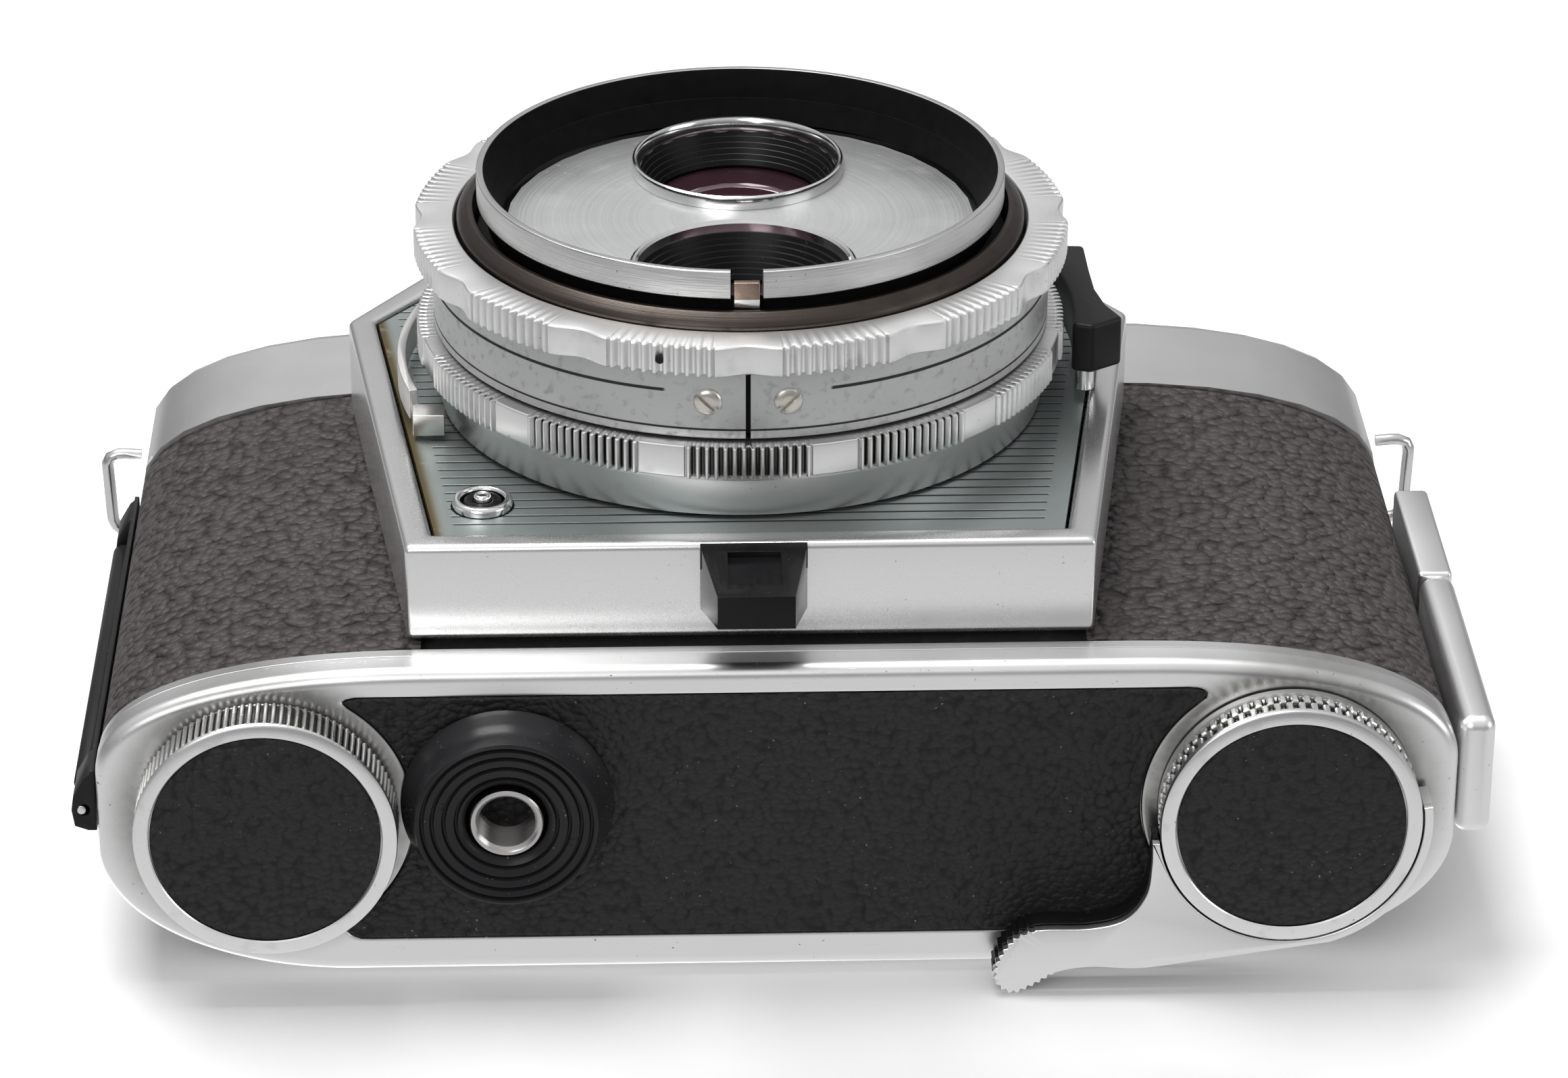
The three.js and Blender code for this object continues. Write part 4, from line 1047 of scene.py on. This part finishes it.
def band_finish():
    """Speckled grey, with a cut line near the front that leaves out the angles by the screws, and a whole
    one at the rear."""
    material, place = new_finish("band_grey", (lens_axis.x, band_low.y, lens_axis.z))
    x, y, z = place.parts()
    angle = x.math("ARCTAN2", z * -1)
    aside = angle.math("ABSOLUTE").step(LINE_GAP - 0.006, LINE_GAP + 0.006)
    front_line = (y - 2.1).math("ABSOLUTE").step(0.13, 0.2, 1.0, 0.0) * aside
    rear_line = (y - 6.1).math("ABSOLUTE").step(0.08, 0.14, 1.0, 0.0)
    cut = front_line.math("MAXIMUM", rear_line)
    speckle = place.noise(1.1, 5).step(0.52, 0.72)
    patch = place.noise(0.16, 4)
    lines = place.joined(angle * 6.0, y * 5.0, 0.0).noise(1.0, 3)
    tone = (speckle * patch * 0.7).blend((0.5, 0.505, 0.5), (0.25, 0.25, 0.24))
    return lay_on(
        material,
        base_color=cut.blend(tone, (0.01, 0.01, 0.01)),
        metallic=0.85 - cut * 0.85,
        roughness=0.4 + speckle * 0.16 + cut * 0.3,
        normal=(lines * 0.2 - cut * 3.0 - speckle * 0.2).bump(0.02),
    )


band_grey = band_finish()
band_section = ring_profile("clamp_band", BAND_R, BAND_BORE, 0.22 * MM)
fit(
    turned("band", band_section, lens_axis, "y", 300, span=(SLIT_HALF, TURN - SLIT_HALF)),
    band_grey, "band_grey", "lens_unit", "clamp_band",
)


def screw(name, angle, turn):
    """A domed round head on the band at an angle, pointing at the lens axis, with a slot turned by turn."""
    head = np.array([
        (0.0, 0.42), (0.35, 0.42), (0.7, 0.4), (1.0, 0.34), (1.25, 0.24), (1.4, 0.1), (1.45, -0.05),
        (1.45, -0.6), (0.0, -0.6),
    ]) * MM
    fine = np.concatenate([
        np.linspace(a, b, 5, endpoint=False) for a, b in zip(head[:-2], head[1:-1])
    ] + [head[-2:]])
    spin, radius = np.meshgrid(np.linspace(0, TURN, 96, endpoint=False), fine[:, 0], indexing="ij")
    lift = np.broadcast_to(fine[:, 1], radius.shape).copy()
    u, v = radius * np.cos(spin), radius * np.sin(spin)
    across = np.abs(u * math.sin(turn) + v * math.cos(turn))
    sunk = np.clip((SCREW_SLOT - across) / (0.08 * MM), 0, 1) * (lift > -0.3 * MM)
    lift -= sunk * 0.4 * MM
    out = np.array([math.sin(angle), 0, -math.cos(angle)])
    beside = np.array([math.cos(angle), 0, math.sin(angle)])
    centre = np.array([lens_axis.x, middle_of("band_screw_left").y, lens_axis.z]) + out * BAND_R
    points = centre + u[..., None] * beside + v[..., None] * np.array([0, 1, 0]) + lift[..., None] * out
    return skin(name, points.transpose(1, 0, 2), crease=30)


screw_nickel = bright("screw_nickel", (0.66, 0.64, 0.58), 0.25)
for side, angle, turn in (("left", -7.2, -0.75), ("right", 7.2, 0.75)):
    fit(
        screw(f"screw_{side}", math.radians(angle), turn),
        screw_nickel, "steel", "lens_unit", f"band_screw_{side}",
    )

# ---- shutter-speed and aperture rings -------------------------------------------------------------------
# The speed ring is bright aluminium with twelve knurled lobes and hollows between them. The aperture ring
# inside it is turned and lacquered bronze-brown.
SPEED_R = 33.5 * MM
SPEED_BORE = 29.3 * MM
HOLLOW = 0.8 * MM
SPEED_PITCH = 30 / 16
SPEED_GROOVE = 0.65 * MM


def speed_relief(angle, radius, level):
    """Lobes stand at the full radius and are grooved; the hollows between them are cosine dips."""
    inside, groove, from_grip = grips(angle, 15, 5 * SPEED_PITCH, 10)
    away = np.clip((np.abs(from_grip) - math.radians(9.0)) / math.radians(6.0), 0, 1)
    dip = HOLLOW * (1 - np.cos(away * math.pi)) / 2
    wall = np.clip((radius - (SPEED_R - 1.2 * MM)) / (0.8 * MM), 0, 1)
    return radius - wall * (dip + SPEED_GROOVE * groove)


speed_metal = lathe_metal("speed_metal", lens_axis, "y", (0.88, 0.88, 0.875), 0.32, 0.5)
speed_rows = ring_profile("speed_ring", SPEED_R, SPEED_BORE, 0.35 * MM)
fit(
    turned("speed_wheel", speed_rows, lens_axis, "y", 1920, speed_relief, crease=25),
    speed_metal, "ring_aluminium", "speed", "speed_ring",
)
# The index hole is a black plug: painted shade for its dark inside.
index_hole_angle = math.radians(-15)
index_hole_profile = [(0, -0.06), (0.3, -0.06), (0.42, 0.02), (0.42, 0.4), (0, 0.4)]
index_hole_out = Vector((math.sin(index_hole_angle), 0, -math.cos(index_hole_angle)))
index_hole_shade = turned("speed_index_hole_shade", np.array(index_hole_profile) * MM, Vector((0, 0, 0)), "y", 24)
index_hole_at = lens_axis + index_hole_out * (SPEED_R - 0.05 * MM)
turn_out = index_hole_out.to_track_quat("-Y", "Z").to_matrix().to_4x4()
index_hole_shade.data.transform(Matrix.Translation(index_hole_at) @ turn_out)
fit(index_hole_shade, hole_shade_black, "gloss_black", "speed")

aperture_low, aperture_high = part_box("aperture_ring")
front_y = aperture_low.y
aperture_rows = [
    (27.3 * MM, front_y), (27.9 * MM, front_y), (28.7 * MM, front_y + 0.7 * MM),
    (29.0 * MM, front_y + 1.1 * MM), (29.0 * MM, aperture_high.y), (27.3 * MM, aperture_high.y),
]
bronze = lathe_metal(
    "bronze", lens_axis, "y", (0.0715, 0.0598, 0.0528), 0.24, 1.4, stain=(0.03, 0.024, 0.018), stains=0.8,
)
fit(
    turned("aperture_wheel", fillet(aperture_rows, 0.12 * MM), lens_axis, "y", 240),
    bronze, "bronze", "aperture", "aperture_ring",
)

# ---- hood -----------------------------------------------------------------------------------------------
# A short turned hood screws in front of the rings: brushed outside, matt black inside. Its rim is notched at
# the bottom, where an index tab shows, bronze above and chrome below.
hood_low, hood_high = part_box("hood_tube")
HOOD_R = 26.92 * MM
RIM_BORE = 26.2 * MM
NECK_R = 25.9 * MM
HOOD_FLOOR_R = 24.4 * MM
LIP_Y = hood_low.y + 2.95 * MM
NOTCH_HALF = 1.6 / 26.5


def hood_finish():
    """Brushed metal on the outside and the rim's flat, black paint with rubbed specks on the inside."""
    material, place = new_finish("hood_metal", (lens_axis.x, hood_low.y, lens_axis.z))
    x, y, z = place.parts()
    radius = (x * x + z * z).math("SQRT")
    bore = y * ((HOOD_FLOOR_R - RIM_BORE) / (hood_high.y - hood_low.y)) + RIM_BORE / MM
    outside = (radius - bore).step(0.02, 0.1)
    lip = y.step(2.9, 2.98)
    bare = outside * (1 - lip)
    angle = x.math("ARCTAN2", z * -1)
    brush = place.joined(angle * 5.0, y * 5.5, radius * 5.5).noise(1.0, 4)
    nicks = place.noise(2.0, 3).step(0.7, 0.76)
    paint = place.noise(0.7, 4).blend((0.002, 0.002, 0.002), (0.007, 0.007, 0.0075))
    metal = (brush * 0.5 + place.noise(0.15, 3) * 0.5).blend((0.36, 0.36, 0.355), (0.8, 0.8, 0.795))
    return lay_on(
        material,
        base_color=bare.blend(paint, nicks.blend(metal, (0.3, 0.28, 0.26))),
        metallic=bare * 0.98,
        roughness=bare * -0.32 + 0.55 + brush * 0.16 + nicks * 0.1,
        specular_ior_level=0.05,
        normal=(brush * bare - nicks * 0.5).bump(0.03),
    )


hood_metal = hood_finish()


def bore_at(y):
    """The hood's inside narrows evenly from the rim to its floor."""
    return RIM_BORE + (HOOD_FLOOR_R - RIM_BORE) * (y - hood_low.y) / (hood_high.y - hood_low.y)


rim_rows = [(RIM_BORE, hood_low.y), (HOOD_R, hood_low.y), (HOOD_R, LIP_Y), (bore_at(LIP_Y), LIP_Y)]
rim_span = (NOTCH_HALF, TURN - NOTCH_HALF)
fit(
    turned("hood_rim", fillet(rim_rows, 0.14 * MM), lens_axis, "y", 240, span=rim_span, crease=40),
    hood_metal, "ring_aluminium", "lens_unit", "hood_tube",
)
neck_y = LIP_Y + 0.02 * MM
neck_rows = [(bore_at(neck_y), neck_y), (NECK_R, neck_y), (NECK_R, hood_high.y), (HOOD_FLOOR_R, hood_high.y)]
fit(turned("hood_neck", neck_rows, lens_axis, "y", 240), hood_metal, "matte_black", "lens_unit")

tab_metal, tab_place = new_finish("tab_metal", (0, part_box("index_tab")[0].y, 0))
tab_split = tab_place.parts()[1].step(1.75, 1.85)
tab_cloud = tab_place.noise(0.9, 3)
lay_on(
    tab_metal,
    base_color=tab_split.blend(tab_cloud.blend((0.24, 0.17, 0.13), (0.38, 0.29, 0.23)), (0.9, 0.9, 0.9)),
    metallic=1.0,
    roughness=tab_cloud * 0.12 + 0.12,
    normal=tab_place.noise(5.0, 3).bump(0.008),
)
fit(refined("index_tab", "hood_index", 0.14 * MM), tab_metal, "bright_chrome", "lens_unit", "index_tab")

# ---- lenses ---------------------------------------------------------------------------------------------
# A satin plate fills the hood's floor round the two lenses. The upper lens has a polished raised bezel, the
# lower a thin polished rim, and behind each a ribbed black funnel steps in to purple-brown coated glass.
GLASS_SINK = 0.9 * MM
GLASS_BULGE = 1.3 * MM
upper_axis, lower_axis = middle_of("viewing_bezel"), middle_of("taking_barrel")
upper_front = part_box("viewing_bezel")[0].y
lower_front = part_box("lens_front_plate")[0].y - 0.35 * MM
face_satin = lathe_metal("face_satin", lens_axis, "y", (0.76, 0.765, 0.765), 0.3, 1.1)
fit(
    refined("lens_front_plate", "lens_face", crease=50),
    face_satin, "satin_chrome", "lens_unit", "lens_front_plate",
)


def funnel(mouth, throat, front, back, count):
    """Rows of a funnel of count steps from mouth to throat, each step a short cylinder and a sharp ledge."""
    rows = []
    for i in range(count):
        radius = mouth + (throat - mouth) * i / (count - 1)
        depth = front + (back - front) * i / count
        next_depth = front + (back - front) * (i + 1) / count
        rows += [(radius + 0.12 * MM, depth + 0.02 * MM), (radius - 0.06 * MM, next_depth - 0.02 * MM)]
    return rows


def lens_mount(name, axis, rim_front, rim_rows, mouth, throat, glass, count, node):
    """A polished rim in place of node, and inside it a black ribbed funnel back to the glass."""
    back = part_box(glass)[0].y + GLASS_SINK
    rim = np.array(rim_rows) * MM + np.array([0, rim_front])
    fit(turned(name + "_rim", rim, axis, "y", 160), bright_chrome, "bright_chrome", "lens_unit", node)
    start = rim_front + rim_rows[0][1] * MM
    inner = funnel(mouth, throat, start, back, count)
    outer = [(rim_rows[0][0] * MM, back + 0.3 * MM), (rim_rows[0][0] * MM, start)]
    black = turned(name + "_funnel", inner + outer, axis, "y", 160, crease=25)
    fit(black, funnel_black, "matte_black", "lens_unit")


funnel_black = black_plastic("funnel_black", (0.003, 0.003, 0.003), 0.26, 0.35)
upper_rim = [
    (10.35, 1.35), (10.35, 0.35), (10.55, 0.05), (10.75, 0.0), (10.95, 0.12), (11.06, 0.4), (11.06, 1.38),
]
lower_rim = [
    (10.75, 1.2), (10.75, 0.3), (10.95, 0.05), (11.2, 0.0), (11.45, 0.12), (11.55, 0.3), (11.55, 1.2),
]
lens_mount(
    "upper_lens", upper_axis, upper_front, upper_rim, 10.1 * MM, 8.7 * MM, "viewing_lens", 6, "viewing_bezel",
)
lens_mount(
    "lower_lens", lower_axis, lower_front, lower_rim, 10.5 * MM, 7.4 * MM, "taking_lens", 8, "taking_barrel",
)

coated, coated_place = new_finish("coated_glass")
haze = coated_place.noise(0.35, 3)
dust = coated_place.noise(4.0, 2).step(0.72, 0.77) * coated_place.noise(0.5, 2).step(0.5, 0.62)
lay_on(
    coated,
    base_color=dust.blend(haze.blend((0.02, 0.008, 0.012), (0.035, 0.014, 0.02)), (0.2, 0.18, 0.17)),
    roughness=haze * 0.03 + 0.02 + dust * 0.3,
    ior=1.75,
    specular_ior_level=0.7,
    specular_tint=(0.85, 0.5, 0.62),
    coat_weight=0.4,
    coat_roughness=0.02,
)
for name, node, axis, radius in (
    ("upper_glass", "viewing_lens", upper_axis, 9.0 * MM),
    ("lower_glass", "taking_lens", lower_axis, 7.7 * MM),
):
    glass_low, glass_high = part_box(node)
    share = np.linspace(0, 1, 14)
    dome = [(radius * t, glass_low.y + GLASS_BULGE * t * t) for t in share]
    rows = dome + [(radius, glass_high.y), (0, glass_high.y)]
    fit(turned(name, rows, axis, "y", 96, crease=50), coated, "coated_glass", "lens_unit", node)

# ---- latch, hinge and door ------------------------------------------------------------------------------
# The back opens on a black strip hinge at one end and is held by a satin sliding latch at the other. The
# hinge's strip, barrel and pin are drawn in from their solids to their true width.
latch_satin = satin("latch_satin", (0.84, 0.84, 0.835), 0.28, 0.8)
fit(refined("latch_bar", "latch_slider", 1.3 * MM, 5), latch_satin, "satin_chrome", "latch", "latch_bar")
fit(refined("latch_guide", "latch_rail", 0.5 * MM), latch_satin, "satin_chrome", "body", "latch_guide")
hinge_black = black_plastic("hinge_enamel", (0.008, 0.008, 0.008), 0.34, 0.5)
HINGE_ROOT = Vector((-67.2 * MM, 0, 0))
hinge_axis = middle_of("hinge_pin")
for name, node, middle, share, metal, slot_name, body in (
    ("hinge_strip", "hinge_leaf", HINGE_ROOT, (0.84, 1, 1, 1), hinge_black, "matte_black", "body"),
    ("hinge_roll", "hinge_barrel", hinge_axis, (0.8, 0.8, 1, 1), hinge_black, "matte_black", "door"),
    ("hinge_rod", "hinge_pin", hinge_axis, (0.8, 0.8, 1, 1), steel_wire, "steel", "body"),
):
    piece = refined(node, name, 0.1 * MM, 2)
    piece.data.transform(Matrix.Translation(middle) @ Matrix.Diagonal(share) @ Matrix.Translation(-middle))
    fit(piece, metal, slot_name, body, node)

# ---- inside ---------------------------------------------------------------------------------------------
# What the open back and the finder show: the blackened casting and door, the film gate, the transport, the
# mirror and the ground glass. These solids keep their shape and get a finish.
casting, casting_place = new_finish("blackened_casting")
skin_noise = casting_place.noise(1.6, 5)
rub = casting_place.noise(0.25, 4).step(0.58, 0.72)
lay_on(
    casting,
    base_color=rub.blend(skin_noise.blend((0.03, 0.031, 0.032), (0.07, 0.071, 0.073)), (0.13, 0.13, 0.13)),
    metallic=rub * 0.5 + 0.3,
    roughness=0.62 - rub * 0.15 + skin_noise * 0.1,
    normal=skin_noise.bump(0.05),
)
silver, silver_place = new_finish("silvering")
age = silver_place.noise(0.3, 4).step(0.6, 0.8)
lay_on(
    silver,
    base_color=age.blend((0.93, 0.94, 0.95), (0.8, 0.78, 0.72)),
    metallic=1.0,
    roughness=age * 0.08 + 0.02,
)
ground, ground_place = new_finish("ground_glass")
frost = ground_place.noise(12.0, 3)
lay_on(
    ground,
    base_color=frost.blend((0.72, 0.76, 0.75), (0.85, 0.88, 0.87)),
    roughness=frost * 0.15 + 0.45,
    transmission_weight=0.5,
    normal=frost.bump(0.01),
)
inner_black = black_plastic("inner_black", (0.012, 0.012, 0.012), 0.5, 0.3)
inner_steel = satin("inner_steel", (0.66, 0.66, 0.65), 0.25, 0.5)
for metal, nodes in (
    (casting, ("body_casting", "back_door")),
    (inner_black, ("film_gate", "pressure_plate", "mirror_box", "shutter_housing", "takeup_spool",
                   "hood_flap_left", "hood_flap_right")),
    (inner_steel, ("helicoid_base", "pressure_spring", "sprocket_drum", "rewind_shaft", "rewind_sleeve")),
    (silver, ("viewing_mirror",)),
    (ground, ("ground_glass",)),
):
    for node in nodes:
        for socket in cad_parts[node].material_slots:
            socket.material = metal
